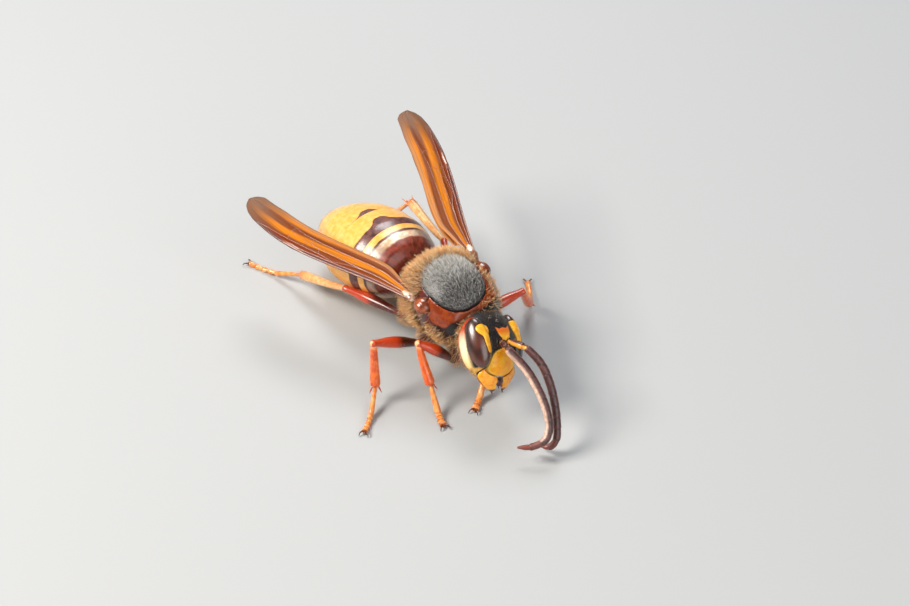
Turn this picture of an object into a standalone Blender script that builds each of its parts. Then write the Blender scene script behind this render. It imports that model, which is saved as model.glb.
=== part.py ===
"""A male European hornet (Vespa crabro) at life size, standing still with its wings folded in a V.

It faces -Y, its left side is +X, and the floor is z = 0.
Every shape is worked out in millimetres, and shrunk to metres when it becomes an object.
"""

import math

import bmesh
import bpy
from mathutils import Matrix, Vector

# ---- driving dimensions, in millimetres ----
MILLIMETRE = 0.001
SEAM = 0.05  # the gap left between one body plate and the next
BODY_SIDES = 20
LIMB_SIDES = 6
WELD = 0.0004  # points of a cut that lie closer than this become one

THORAX_CENTRE = Vector((0.0, 0.0, 6.75))
THORAX_ROLL = math.radians(8.0)  # it leans a little to its own right
HEAD_CENTRE = Vector((-0.6, -6.05, 5.55))
HEAD_LEFT = Vector((0.90, 0.09, -0.42))
HEAD_FRONT = Vector((0.30, -0.81, 0.475))

GASTER_START = Vector((0.0, 4.5, 5.9))
GASTER_DROOP = math.radians(12.0)
GASTER_LENGTH = 13.6
GASTER_RADIUS = 4.12
SEGMENT_ENDS = (0.0, 3.5, 6.6, 8.9, 10.6, 11.9, 12.9, 13.6)

WING_LENGTH = 18.2
WING_THICKNESS = 0.5
HINDWING_SHARE = 0.7

FLAGELLUM_RADIUS = 0.33
SCAPE_RADIUS = 0.27
TARSUS_RADIUS = 0.27

# ---- colours ----
BLACK = (0.02, 0.015, 0.015)
RED_BROWN = (0.30, 0.06, 0.015)
DARK_RED = (0.12, 0.015, 0.008)
YELLOW = (0.90, 0.55, 0.06)
AMBER = (0.55, 0.22, 0.03)
ORANGE_RED = (0.50, 0.14, 0.03)
EYE_BROWN = (0.06, 0.015, 0.01)


# ---- shapes, all in millimetres ----

def smooth_row(rows, place):
    """The row of numbers at a place between the given rows, on a smooth curve through them all."""
    last = len(rows) - 1
    index = min(int(place), last - 1)
    share = place - index
    before = rows[max(index - 1, 0)]
    start = rows[index]
    end = rows[index + 1]
    after = rows[min(index + 2, last)]
    result = []
    for a, b, c, d in zip(before, start, end, after):
        curve = 2 * b + (c - a) * share
        curve += (2 * a - 5 * b + 4 * c - d) * share**2
        curve += (3 * b - a - 3 * c + d) * share**3
        result.append(curve / 2)
    return result


def smooth_rows(rows, steps):
    """Rows along the smooth curve, with so many steps between one given row and the next."""
    total = (len(rows) - 1) * steps
    return [smooth_row(rows, index / steps) for index in range(total + 1)]


def power(value, exponent):
    return math.copysign(abs(value) ** exponent, value)


def oval(half_width, up, down, count, squareness=1.0):
    """Points around an egg-shaped section: x is the width, y reaches up and down by different amounts."""
    points = []
    for index in range(count):
        angle = 2 * math.pi * index / count
        height = up if math.sin(angle) > 0 else down
        points.append((half_width * power(math.cos(angle), squareness),
                       height * power(math.sin(angle), squareness)))
    return points


def closed_skin(rings):
    """A closed mesh over rings of points, with a flat cap on the first and the last ring."""
    mesh = bmesh.new()
    loops = [[mesh.verts.new(point) for point in ring] for ring in rings]
    for lower, upper in zip(loops, loops[1:]):
        for index in range(len(lower)):
            following = (index + 1) % len(lower)
            mesh.faces.new((lower[index], lower[following], upper[following], upper[index]))
    mesh.faces.new(loops[0])
    mesh.faces.new(loops[-1])
    bmesh.ops.recalc_face_normals(mesh, faces=mesh.faces)
    return mesh


def tube(route, radii, sides, flatness=1.0):
    """A closed tube along a route of points, with a radius at each point."""
    rings = []
    across = None
    for index, (point, radius) in enumerate(zip(route, radii)):
        ahead = (route[min(index + 1, len(route) - 1)] - route[max(index - 1, 0)]).normalized()
        if across is None:
            across = ahead.cross(Vector((0, 0, 1)) if abs(ahead.z) < 0.9 else Vector((0, 1, 0)))
        across = (across - ahead * across.dot(ahead)).normalized()
        upward = across.cross(ahead)
        ring = []
        for side in range(sides):
            angle = 2 * math.pi * side / sides
            ring.append(point + across * (radius * math.cos(angle))
                        + upward * (radius * flatness * math.sin(angle)))
        rings.append(ring)
    return closed_skin(rings)


def ball(centre, axes, radii, columns=16, rows=9):
    """A closed ellipsoid, with a short ring at each pole."""
    rings = []
    for row in range(rows + 1):
        slope = math.pi * (0.04 + 0.92 * row / rows)
        ring = []
        for column in range(columns):
            angle = 2 * math.pi * column / columns
            local = (math.sin(slope) * math.cos(angle), math.sin(slope) * math.sin(angle), math.cos(slope))
            ring.append(centre + sum((axis * radius * value
                                      for axis, radius, value in zip(axes, radii, local)), Vector()))
        rings.append(ring)
    return closed_skin(rings)


def prism(outline, place, low, high):
    """A closed prism: place(u, v, depth) puts the outline's points at the low and the high depth."""
    return closed_skin([[place(u, v, depth) for u, v in outline] for depth in (low, high)])


def as_object(mesh):
    """A plain object in millimetres, for cutting."""
    data = bpy.data.meshes.new("working")
    mesh.to_mesh(data)
    mesh.free()
    piece = bpy.data.objects.new("working", data)
    bpy.context.scene.collection.objects.link(piece)
    return piece


def combine(mesh, tool, operation):
    """One mesh with another taken away from it, kept inside it, or joined to it. The tool is left whole."""
    piece = as_object(mesh)
    other = as_object(tool.copy())
    step = piece.modifiers.new("combine", "BOOLEAN")
    step.operation = operation
    step.solver = "EXACT"
    step.object = other
    evaluated = piece.evaluated_get(bpy.context.evaluated_depsgraph_get())
    result = bmesh.new()
    result.from_mesh(evaluated.to_mesh())
    for used in (piece, other):
        bpy.data.objects.remove(used)
    bmesh.ops.triangulate(result, faces=[face for face in result.faces if len(face.verts) > 4])
    bmesh.ops.remove_doubles(result, verts=result.verts, dist=WELD)
    return result


def cut(mesh, *tools):
    for tool in tools:
        mesh = combine(mesh, tool, "DIFFERENCE")
    return mesh


# ---- objects and materials ----

def material(name, colour, roughness, metallic=0.0):
    finish = bpy.data.materials.new(name)
    finish.use_nodes = True
    shader = finish.node_tree.nodes["Principled BSDF"]
    shader.inputs["Base Color"].default_value = (*colour, 1.0)
    shader.inputs["Roughness"].default_value = roughness
    shader.inputs["Metallic"].default_value = metallic
    return finish


def add_node(name, mesh, colour, roughness=0.35):
    """Turns a mesh in millimetres into the named object in metres."""
    mesh.transform(Matrix.Scale(MILLIMETRE, 4))
    bmesh.ops.triangulate(mesh, faces=mesh.faces)
    data = bpy.data.meshes.new(name)
    mesh.to_mesh(data)
    mesh.free()
    data.shade_smooth()
    data.materials.append(material(name + "_finish", colour, roughness))
    node = bpy.data.objects.new(name, data)
    bpy.context.scene.collection.objects.link(node)


def sides():
    """The two sides of the animal: its name for the node, and the sign of x."""
    return (("left", 1.0), ("right", -1.0))


# ---- thorax ----
# Each row: y from the thorax centre, half width, height above it, depth below it.
THORAX_ROWS = (
    (-4.05, 0.85, -0.05, 1.75),
    (-3.8, 1.75, 0.85, 2.2),
    (-3.2, 2.55, 1.8, 2.65),
    (-2.0, 3.05, 2.75, 3.0),
    (-0.6, 3.25, 3.2, 3.1),
    (0.9, 3.2, 3.2, 3.0),
    (2.2, 2.9, 2.75, 2.8),
    (3.1, 2.45, 1.9, 2.5),
    (3.8, 1.7, 0.7, 2.1),
    (4.2, 0.8, -0.25, 1.65),
)
SCUTUM_SHAPE = (-0.05, -0.85, 2.3, 2.3)  # x, y, half width, half length of its outline from above
SCUTELLUM_SHAPE = (0.0, 2.05, 1.95, 0.95)
SCUTUM_LOW = 0.75
SCUTELLUM_LOW = 1.3
PRONOTUM_SLOPE = ((-0.75, 3.6), (-0.95, 1.3), (-3.1, -1.3), (-3.3, -3.8))  # y, z down its rear edge
PROPODEUM_SLOPE = ((2.2, 3.8), (3.0, 1.5), (2.6, -1.0), (3.1, -3.6))


def on_thorax(x, y, z):
    """A point given as left, back and up of the thorax centre."""
    roll = Matrix.Rotation(-THORAX_ROLL, 3, "Y")
    return THORAX_CENTRE + roll @ Vector((x, y, z))


def thorax_skin(grow=0.0):
    rings = []
    for y, half_width, up, down in smooth_rows(THORAX_ROWS, 2):
        end = 1.0 if abs(y) > 4.0 else 0.0
        section = oval(half_width + grow, up + grow, down + grow, BODY_SIDES, 0.93)
        y += math.copysign(grow, y) * end
        rings.append([on_thorax(x, y, z) for x, z in section])
    return closed_skin(rings)


def upright_tool(shape, low, grow=0.0):
    """A solid oval column, which takes a plate out of the top of the thorax."""
    x, y, half_width, half_length = shape
    outline = [(x + u, y + v) for u, v in oval(half_width + grow, half_length + grow,
                                               half_length + grow, BODY_SIDES, 0.9)]
    return prism(outline, on_thorax, low - grow, 6.0)


def end_tool(slope, reach, grow=0.0):
    """A solid that holds everything beyond a bent line seen from the side, towards y = reach."""
    shift = -grow if reach > 0 else grow
    outline = [(y + shift, z) for y, z in slope]
    outline += [(reach, outline[-1][1] - 1.0), (reach, outline[0][1] + 1.0)]
    return prism(outline, lambda y, z, depth: on_thorax(depth, y, z), -6.0, 6.0)


def build_thorax():
    whole = thorax_skin()
    scutum_room = upright_tool(SCUTUM_SHAPE, SCUTUM_LOW, SEAM)
    scutellum_room = upright_tool(SCUTELLUM_SHAPE, SCUTELLUM_LOW, SEAM)
    scutum = combine(whole.copy(), upright_tool(SCUTUM_SHAPE, SCUTUM_LOW), "INTERSECT")
    scutellum = combine(whole.copy(), upright_tool(SCUTELLUM_SHAPE, SCUTELLUM_LOW), "INTERSECT")
    pronotum = combine(whole.copy(), end_tool(PRONOTUM_SLOPE, -6.0), "INTERSECT")
    propodeum = combine(whole.copy(), end_tool(PROPODEUM_SLOPE, 6.0), "INTERSECT")
    mesothorax = cut(whole, scutum_room, scutellum_room, end_tool(PRONOTUM_SLOPE, -6.0, SEAM),
                     end_tool(PROPODEUM_SLOPE, 6.0, SEAM))
    add_node("mesoscutum", scutum, BLACK, 0.5)
    add_node("scutellum", cut(scutellum, scutum_room), DARK_RED, 0.5)
    add_node("pronotum", cut(pronotum, scutum_room, head_skin(SEAM)), RED_BROWN)
    add_node("propodeum", cut(propodeum, scutellum_room), BLACK, 0.5)
    add_node("mesothorax", mesothorax, BLACK, 0.5)


# ---- head ----
# Each row: height from the head centre, half width, reach to the front, reach to the back.
HEAD_ROWS = (
    (-2.1, 1.3, 0.95, 0.15),
    (-1.9, 1.75, 1.15, 0.45),
    (-1.2, 2.33, 1.4, 1.1),
    (-0.2, 2.68, 1.62, 1.5),
    (0.9, 2.8, 1.75, 1.62),
    (1.8, 2.62, 1.45, 1.5),
    (2.55, 2.05, 0.85, 1.1),
    (3.0, 1.2, 0.3, 0.7),
)
EYE_CENTRE = (2.02, 0.72, 0.72)
EYE_RADII = (0.75, 1.02, 2.03)
EYE_TURN = math.radians(-24.0)  # its outer face looks a little forwards
EYE_LEAN = math.radians(-12.0)  # its lower end stands further forward than its upper end
EYE_NOTCH = (1.5, 1.45, 1.75, 0.58)  # x, y, height and radius of the notch in the eye's inner edge
CLYPEUS_OUTLINE = ((0.0, -2.12), (0.75, -1.97), (1.35, -1.65), (1.5, -1.25), (0.95, -0.35), (0.35, 0.02))
# Each row of a jaw: left, forward and up of the head's centre, then its half width.
MANDIBLE_ROWS = ((1.3, 0.72, -1.6, 0.78), (1.23, 0.74, -1.95, 0.88), (0.98, 0.62, -2.6, 0.6),
                 (0.72, 0.53, -3.05, 0.34), (0.62, 0.5, -3.25, 0.14))
MANDIBLE_TURN = math.radians(40.0)  # its broad face looks this far outwards
MANDIBLE_DEPTH = 0.27
CLYPEUS_RISE = 0.1  # how far the clypeus stands proud of the face
CLYPEUS_DEPTH = 0.55
MOUTH_ROUTE = ((0.0, 0.5, -1.9), (0.0, 0.72, -2.45), (0.0, 0.72, -2.95))
MOUTH_RADII = (0.5, 0.42, 0.26)
TORULUS = (0.42, 1.72, 0.62)  # where the left feeler leaves the face


def head_axes():
    left = HEAD_LEFT.normalized()
    up = left.cross(-HEAD_FRONT).normalized()
    return left, left.cross(up), up


def on_head(x, y, z):
    """A point given as left, forward and up of the head's centre."""
    left, front, up = head_axes()
    return HEAD_CENTRE + left * x + front * y + up * z


def head_skin(grow=0.0):
    rings = []
    for z, half_width, front, back in smooth_rows(HEAD_ROWS, 2):
        section = oval(half_width + grow, front + grow, back + grow, BODY_SIDES, 0.9)
        rings.append([on_head(x, y, z) for x, y in section])
    return closed_skin(rings)


def eye_skin(side, grow=0.0):
    left, front, up = head_axes()
    turn = Matrix.Rotation(side * EYE_TURN, 3, up)
    lean = Matrix.Rotation(EYE_LEAN, 3, left)
    axes = [lean @ (turn @ axis) for axis in (left, front, up)]
    x, y, z = EYE_CENTRE
    eye = ball(on_head(side * x, y, z), axes, [radius + grow for radius in EYE_RADII], 12, 8)
    x, y, z, radius = EYE_NOTCH
    notch = ball(on_head(side * x, y, z), axes, [0.95 - grow, 0.95 - grow, radius - grow], 8, 4)
    return cut(eye, notch)


def clypeus_tool(grow=0.0):
    half = [(x + (grow if x else 0.0), z + math.copysign(grow, z + 1.0)) for x, z in CLYPEUS_OUTLINE]
    mirrored = [(-x, z) for x, z in reversed(half) if x]
    return prism(half + mirrored, lambda x, z, y: on_head(x, y, z), CLYPEUS_DEPTH - grow, 3.0)


def mandible(side):
    """A broad blade that narrows to its tip, its flat side turned outwards."""
    rings = []
    for x, y, z, half_width in smooth_rows(MANDIBLE_ROWS, 2):
        depth = min(MANDIBLE_DEPTH, half_width)
        ring = []
        for across, rise in oval(half_width, depth, depth, 10):
            outward = across * math.cos(MANDIBLE_TURN) + rise * math.sin(MANDIBLE_TURN)
            forward = rise * math.cos(MANDIBLE_TURN) - across * math.sin(MANDIBLE_TURN)
            ring.append(on_head(side * (x + outward), y + forward, z))
        rings.append(ring)
    return closed_skin(rings)


def build_head():
    whole = head_skin()
    for name, side in sides():
        whole = cut(whole, eye_skin(side, SEAM))
        add_node("eye_" + name, eye_skin(side), EYE_BROWN, 0.12)
    clypeus = combine(head_skin(CLYPEUS_RISE), clypeus_tool(), "INTERSECT")
    add_node("clypeus", clypeus, YELLOW, 0.3)
    whole = cut(whole, clypeus_tool(SEAM))
    add_node("head", whole, BLACK)
    room = head_skin(CLYPEUS_RISE + SEAM)
    for name, side in sides():
        add_node("mandible_" + name, cut(mandible(side), room), YELLOW, 0.3)
    low = [on_head(*place) for place in MOUTH_ROUTE]
    add_node("mouthparts", cut(tube(low, MOUTH_RADII, 10, 0.6), room), DARK_RED)


# ---- antennae ----
# Each route leads from the socket on the face: the scape, then the many-jointed flagellum.
FLAGELLUM_ROUTE = {
    "left": ((0.95, -9.0, 7.05), (1.45, -10.25, 6.0), (1.4, -11.5, 4.75), (1.1, -12.55, 3.5),
             (0.6, -13.5, 2.25), (0.15, -14.0, 1.4), (-0.35, -13.85, 0.8), (-0.75, -13.1, 0.6)),
    "right": ((-0.65, -8.65, 7.45), (-0.05, -10.3, 6.2), (0.1, -11.9, 4.75), (-0.05, -13.05, 3.6),
              (-0.4, -13.75, 2.6), (-1.0, -14.0, 1.95), (-1.95, -13.65, 1.55), (-2.85, -13.05, 1.5)),
}
FLAGELLUM_JOINTS = 11


def build_antenna(name, side):
    left, front, up = head_axes()
    x, y, z = TORULUS
    socket = on_head(side * x, y, z)
    end = Vector(FLAGELLUM_ROUTE[name][0])
    aim = (end - socket).normalized()
    route = [socket + aim * reach for reach in (0.06, 0.35, 1.1, (end - socket).length - 0.12)]
    scape = tube(route, (0.2, 0.26, SCAPE_RADIUS, SCAPE_RADIUS * 0.85), 8)
    add_node("scape_" + name, cut(scape, head_skin(SEAM)), DARK_RED, 0.4)
    points = smooth_rows(FLAGELLUM_ROUTE[name], 6)
    count = 2 * FLAGELLUM_JOINTS
    route = []
    radii = []
    for index in range(count + 1):
        place = (0.03 + 0.97 * index / count) * (len(points) - 1)
        route.append(Vector(smooth_row(points, place)))
        waist = 0.9 if index % 2 == 0 else 1.0
        tip = 0.55 if index == count else 1.0
        radii.append(FLAGELLUM_RADIUS * waist * tip)
    add_node("flagellum_" + name, tube(route, radii, LIMB_SIDES), DARK_RED, 0.4)


# ---- gaster: the seven-ringed abdomen behind the waist ----
# Each row: distance from the waist, radius as a share of the greatest.
GASTER_ROWS = ((0.0, 0.1), (0.45, 0.24), (0.8, 0.47), (1.35, 0.68), (2.5, 0.84), (4.2, 0.965),
               (6.2, 1.0), (8.2, 0.955), (10.0, 0.82), (11.5, 0.64), (12.7, 0.44), (13.6, 0.16))
GASTER_HEIGHT = 0.88  # above its axis, as a share of its half width
GASTER_DEPTH = 0.78
FRONT_STATIONS = (0.0, 0.13, 0.25, 0.4, 0.65, 1.0)  # where the rings of the first segment stand
STATIONS = (0.0, 0.15, 0.6, 1.0)
TUCK = 0.965  # each later segment starts a little narrower than the one it slides into


def gaster_radius(distance):
    for (start, first), (end, last) in zip(GASTER_ROWS, GASTER_ROWS[1:]):
        if distance <= end:
            break
    row = GASTER_ROWS.index((start, first))
    rows = [(radius,) for place, radius in GASTER_ROWS]
    share = (distance - start) / (end - start)
    return GASTER_RADIUS * smooth_row(rows, row + min(share, 1.0))[0]


def gaster_ring(distance, scale):
    """One ring of the abdomen: flatter below than above, and drooping along its length."""
    radius = gaster_radius(distance) * scale
    aim = Vector((0, math.cos(GASTER_DROOP), -math.sin(GASTER_DROOP)))
    up = Vector((0, math.sin(GASTER_DROOP), math.cos(GASTER_DROOP)))
    centre = GASTER_START + aim * distance
    return [centre + Vector((x, 0, 0)) + up * z
            for x, z in oval(radius, radius * GASTER_HEIGHT, radius * GASTER_DEPTH,
                         BODY_SIDES, 0.96)]


def build_gaster():
    for index, (start, end) in enumerate(zip(SEGMENT_ENDS, SEGMENT_ENDS[1:]), 1):
        length = end - start
        rings = []
        for share in FRONT_STATIONS if index == 1 else STATIONS:
            tuck = TUCK if share == 0.0 and index > 1 else 1.0
            distance = start + SEAM + (length - SEAM) * share
            rings.append(gaster_ring(min(distance, GASTER_LENGTH), tuck))
        colour = RED_BROWN if index == 1 else YELLOW
        add_node("gaster_" + str(index), closed_skin(rings), colour, 0.3)


NECK_ENDS = ((0.0, -1.2, 0.35), (0.0, -3.9, -0.9))  # on the head, and on the thorax
NECK_RADII = (0.85, 0.75, 0.85)
TEGULA_PLACE = (3.1, -0.5, 1.45)
TEGULA_RADII = (0.62, 0.85, 0.62)


def build_waist():
    """The neck behind the head, and the small tegula that covers each wing's hinge."""
    start = on_head(*NECK_ENDS[0])
    end = on_thorax(*NECK_ENDS[1])
    neck = tube([start, start.lerp(end, 0.5), end], NECK_RADII, 12)
    add_node("neck", cut(neck, head_skin(SEAM), thorax_skin(SEAM)), BLACK)
    for name, side in sides():
        centre = on_thorax(side * TEGULA_PLACE[0], *TEGULA_PLACE[1:])
        axes = (Vector((side, 0, 0)), Vector((0, 1, 0)), Vector((0, 0, 1)))
        tegula = ball(centre, axes, TEGULA_RADII, 12, 6)
        add_node("tegula_" + name, cut(tegula, thorax_skin(SEAM)), RED_BROWN, 0.2)


# ---- wings ----
# Each row: share of the length, then the wing's width in millimetres.
FOREWING_ROWS = ((0.0, 0.8), (0.08, 1.4), (0.2, 2.35), (0.4, 2.7), (0.62, 2.8), (0.8, 2.75),
                 (0.9, 2.4), (0.97, 1.6), (1.0, 0.7))
HINDWING_ROWS = ((0.0, 0.7), (0.12, 1.3), (0.35, 1.75), (0.7, 1.7), (0.9, 1.4), (1.0, 0.6))
HINDWING_START = 1.4  # behind the root of the forewing
HINDWING_INSET = 0.75  # inwards from the leading edge
HINDWING_DROP = WING_THICKNESS + 0.12
# Left, back and up of the thorax centre.
WING_ROOT = {"left": Vector((3.65, 1.1, 1.85)), "right": Vector((-3.62, 0.6, 1.7))}
WING_AIM = {"left": Vector((6.2, 16.9, 1.9)), "right": Vector((-4.75, 17.55, 0.75))}
# How far each leading edge bows outwards, most of all past the middle.
WING_BOW = {"left": 0.75, "right": 1.25}
WING_TILT = math.radians(6.0)
WING_CROWN = 0.12
WING_STATIONS = 5  # points across the wing


def wing_plate(root, aim, side, length, rows, drop, inward, most_bow):
    """A thin closed plate, with its bowed leading edge outwards and a gentle crown across it."""
    along = aim.normalized()
    flat = along.cross(Vector((0, 0, 1))).normalized() * -side
    across = Matrix.Rotation(side * WING_TILT, 3, along) @ flat
    upward = across.cross(along) * side
    if upward.z < 0:
        upward = -upward
    rings = []
    for share, width in rows:
        bow = most_bow * math.sin(math.pi * share**1.6) * length / WING_LENGTH
        edge = root + along * (length * share) + across * (inward - bow) - upward * drop
        top = []
        bottom = []
        for station in range(WING_STATIONS):
            place = station / (WING_STATIONS - 1)
            point = edge + across * (width * place) + upward * (WING_CROWN * math.sin(math.pi * place))
            half = WING_THICKNESS / 2 * (1.0 if 0.0 < place < 1.0 else 0.7)
            top.append(point + upward * half)
            bottom.append(point - upward * half)
        rings.append(top + bottom[::-1])
    return closed_skin(rings)


def build_wings():
    for name, side in sides():
        root = on_thorax(*WING_ROOT[name])
        aim = WING_AIM[name]
        bow = WING_BOW[name]
        fore = wing_plate(root, aim, side, WING_LENGTH, FOREWING_ROWS, 0.0, 0.0, bow)
        root = root + aim.normalized() * HINDWING_START
        hind = wing_plate(root, aim, side, WING_LENGTH * HINDWING_SHARE, HINDWING_ROWS, HINDWING_DROP,
                          HINDWING_INSET, bow)
        add_node("forewing_" + name, fore, AMBER, 0.25)
        add_node("hindwing_" + name, hind, AMBER, 0.25)


# ---- legs ----
# Each leg: hip, end of the coxa, knee, end of the tibia, and the foot's path over the floor.
LEG_ROUTES = {
    "front_right": ((-1.0, -2.75, 4.1), (-1.75, -3.15, 3.0), (-4.55, -1.85, 5.35), (-4.5, -3.45, 2.0),
                    (-5.0, -5.3, 0.27), (-5.3, -6.3, 0.2)),
    "front_left": ((1.0, -2.75, 4.1), (0.8, -2.35, 2.75), (3.45, -3.3, 4.7), (0.35, -4.6, 2.2),
                   (-1.3, -5.7, 0.27), (-2.1, -6.3, 0.2)),
    "middle_right": ((-1.5, 0.2, 3.9), (-2.6, 0.25, 2.95), (-7.5, 0.2, 5.4), (-7.9, -0.5, 1.5),
                     (-9.6, -2.2, 0.27), (-10.8, -3.2, 0.2)),
    "middle_left": ((1.5, 0.2, 3.9), (2.6, 0.3, 2.95), (7.3, -0.2, 3.9), (9.1, 1.2, 0.75),
                    (10.3, 2.6, 0.27), (11.1, 4.0, 0.2)),
    "hind_right": ((-1.4, 2.3, 4.3), (-2.45, 3.4, 3.7), (-4.2, 9.2, 3.5), (-4.95, 15.1, 1.5),
                   (-6.0, 18.0, 0.27), (-6.9, 20.3, 0.2)),
    "hind_left": ((1.4, 2.3, 4.2), (2.5, 3.4, 3.3), (5.6, 8.7, 4.3), (6.3, 14.7, 4.6),
                  (6.1, 17.6, 1.3), (6.0, 20.2, 0.2)),
}
COXA_RADII = (0.75, 0.82, 0.6, 0.36)
FEMUR_RADII = (0.28, 0.42, 0.5, 0.42, 0.28)
TIBIA_RADII = (0.27, 0.33, 0.36, 0.4, 0.3)
TARSUS_JOINTS = 5
TARSUS_LENGTHS = (0.0, 0.42, 0.6, 0.74, 0.85, 1.0)
CLAW_REACH = 0.6
CLAW_APART = 0.14  # where the two claws leave the foot, each way from its middle
JOINT_END_RADIUS = 0.27
ROUNDING = 0.12  # how far a limb takes to round off at its end
ROUND_END = 0.55  # the radius left there, as a share


def joint_room(before, joint, after):
    """How far from a joint each of its two round-ended limbs has to stop, so that they just part."""
    bend = (before - joint).angle(after - joint)
    return (JOINT_END_RADIUS + SEAM / 2) / math.sin(bend / 2) - JOINT_END_RADIUS * 0.55


def limb(start, end, radii, room_start, room_end, grow=0.0):
    """A straight limb with a swelling outline and rounded ends."""
    aim = (end - start).normalized()
    start = start + aim * (room_start - grow)
    end = end - aim * (room_end - grow)
    radii = [radius + grow for radius in radii]
    route = [start.lerp(end, index / (len(radii) - 1)) for index in range(len(radii))]
    route = [start, start + aim * ROUNDING, *route[1:-1], end - aim * ROUNDING, end]
    radii = (radii[0] * ROUND_END, radii[0], *radii[1:-1], radii[-1], radii[-1] * ROUND_END)
    return tube(route, radii, LIMB_SIDES)


def keep_above_floor(mesh):
    """Cuts off what would reach below the floor, so that the foot stands on a real flat."""
    wide = 40.0
    corners = ((-wide, -wide), (wide, -wide), (wide, wide), (-wide, wide))
    below = prism(corners, lambda x, y, z: Vector((x, y, z)), -5.0, 0.0)
    return cut(mesh, below)


def claw(tip, aim, side):
    """One of the two hooked claws at the end of a foot."""
    forward = Vector((aim.x, aim.y, 0.0)).normalized()
    outward = Vector((-forward.y, forward.x, 0.0)) * side
    rise = Vector((0, 0, 1))
    route = [tip - forward * 0.12 + outward * CLAW_APART + rise * 0.03,
             tip + forward * CLAW_REACH * 0.5 + outward * 0.27 + rise * 0.16,
             tip + forward * CLAW_REACH + outward * 0.42 - rise * 0.04]
    return tube(route, (0.11, 0.11, 0.05), 5)


def tarsus(ankle, middle, toe, room):
    """The five-jointed foot, its last joints flat on the floor."""
    points = smooth_rows([tuple(ankle), tuple(middle), tuple(toe)], 8)
    start = room / max((middle - ankle).length + (toe - middle).length, 1.0)
    route = []
    radii = []
    for first, last in zip(TARSUS_LENGTHS, TARSUS_LENGTHS[1:]):
        for share, swell in ((0.0, 0.8), (1.0, 1.05)):
            place = first + (last - first) * (share * 0.94 + 0.03)
            place = (start + (1.0 - start) * place) * (len(points) - 1)
            route.append(Vector(smooth_row(points, place)))
            radii.append(TARSUS_RADIUS * swell)
    radii[0] *= 0.8
    aim = (route[-1] - route[-3]).normalized()
    foot = tube(route, radii, LIMB_SIDES)
    for side in (1.0, -1.0):
        foot = combine(foot, claw(route[-1], aim, side), "UNION")
    return keep_above_floor(foot)


def build_leg(name, route):
    hip, turn, knee, ankle, middle, toe = [Vector(point) for point in route]
    turn_room = joint_room(hip, turn, knee)
    knee_room = joint_room(turn, knee, ankle)
    ankle_room = joint_room(knee, ankle, middle)
    coxa_end = turn - (turn - hip).normalized() * turn_room
    coxa_route = [hip.lerp(coxa_end, share) for share in (0.0, 0.35, 0.75, 1.0)]
    femur_room = limb(turn, knee, FEMUR_RADII, turn_room, knee_room, SEAM)
    coxa = cut(tube(coxa_route, COXA_RADII, 10), thorax_skin(SEAM), femur_room)
    add_node("coxa_" + name, coxa, DARK_RED)
    add_node("femur_" + name, limb(turn, knee, FEMUR_RADII, turn_room, knee_room), DARK_RED)
    add_node("tibia_" + name, limb(knee, ankle, TIBIA_RADII, knee_room, ankle_room), ORANGE_RED)
    add_node("tarsus_" + name, tarsus(ankle, middle, toe, ankle_room), ORANGE_RED)


def centre_on_floor():
    """Moves the whole animal so that the middle of its box, on the floor, is the origin."""
    nodes = list(bpy.context.scene.collection.objects)
    corners = [vertex.co for node in nodes for vertex in node.data.vertices]
    lows = [min(corner[axis] for corner in corners) for axis in range(3)]
    highs = [max(corner[axis] for corner in corners) for axis in range(3)]
    move = Matrix.Translation((-(lows[0] + highs[0]) / 2, -(lows[1] + highs[1]) / 2, -lows[2]))
    for node in nodes:
        node.data.transform(move)


def main():
    for old in list(bpy.data.objects):
        bpy.data.objects.remove(old)
    build_thorax()
    build_head()
    build_waist()
    for name, side in sides():
        build_antenna(name, side)
    build_gaster()
    build_wings()
    for name, route in LEG_ROUTES.items():
        build_leg(name, route)
    centre_on_floor()


main()
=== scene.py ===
# %% [markdown]
# # A male European hornet, standing still
#
# The construction already holds the hornet's solids: every plate, limb and wing at its real size.
# This script dresses them. It rebuilds each plate as a fine skin in the same place, paints it, lays
# thin veined wings over the thick ones, and grows the hair. Sizes are in millimetres until the last
# moment, because a hornet is easier to think about in millimetres than in metres.

# %% The frame and the units
import math

import bpy
import numpy as np
from mathutils import Matrix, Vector
from mathutils.bvhtree import BVHTree


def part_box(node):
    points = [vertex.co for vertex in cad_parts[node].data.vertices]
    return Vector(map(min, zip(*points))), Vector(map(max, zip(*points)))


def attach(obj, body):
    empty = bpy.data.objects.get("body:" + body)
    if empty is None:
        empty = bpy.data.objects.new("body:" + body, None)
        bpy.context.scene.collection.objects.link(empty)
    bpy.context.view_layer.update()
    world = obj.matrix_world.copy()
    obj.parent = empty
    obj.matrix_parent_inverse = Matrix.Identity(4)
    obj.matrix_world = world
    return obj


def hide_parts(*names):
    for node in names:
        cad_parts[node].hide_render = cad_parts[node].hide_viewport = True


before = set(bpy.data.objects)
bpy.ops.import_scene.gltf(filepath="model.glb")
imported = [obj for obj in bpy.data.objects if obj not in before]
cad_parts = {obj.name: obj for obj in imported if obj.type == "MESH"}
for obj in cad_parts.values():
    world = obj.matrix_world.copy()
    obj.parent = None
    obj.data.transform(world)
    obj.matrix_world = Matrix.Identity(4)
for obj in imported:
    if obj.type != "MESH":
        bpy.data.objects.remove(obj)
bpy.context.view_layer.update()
MM = 0.001


# %% [markdown]
# ## Small tools for shapes
#
# Nearly every part of an insect is a stack of rounded rings: a limb, an antenna, a ring of the
# abdomen. So one function joins rings into a closed skin, and the rest of the script only has to say
# where the rings are. Smooth curves pass through a few rows of numbers, in the manner of a
# ship's lines drawn through a few frames.

# %% Curves through rows, and ovals
def unit(vector):
    return np.asarray(vector, float) / np.linalg.norm(vector)


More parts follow.
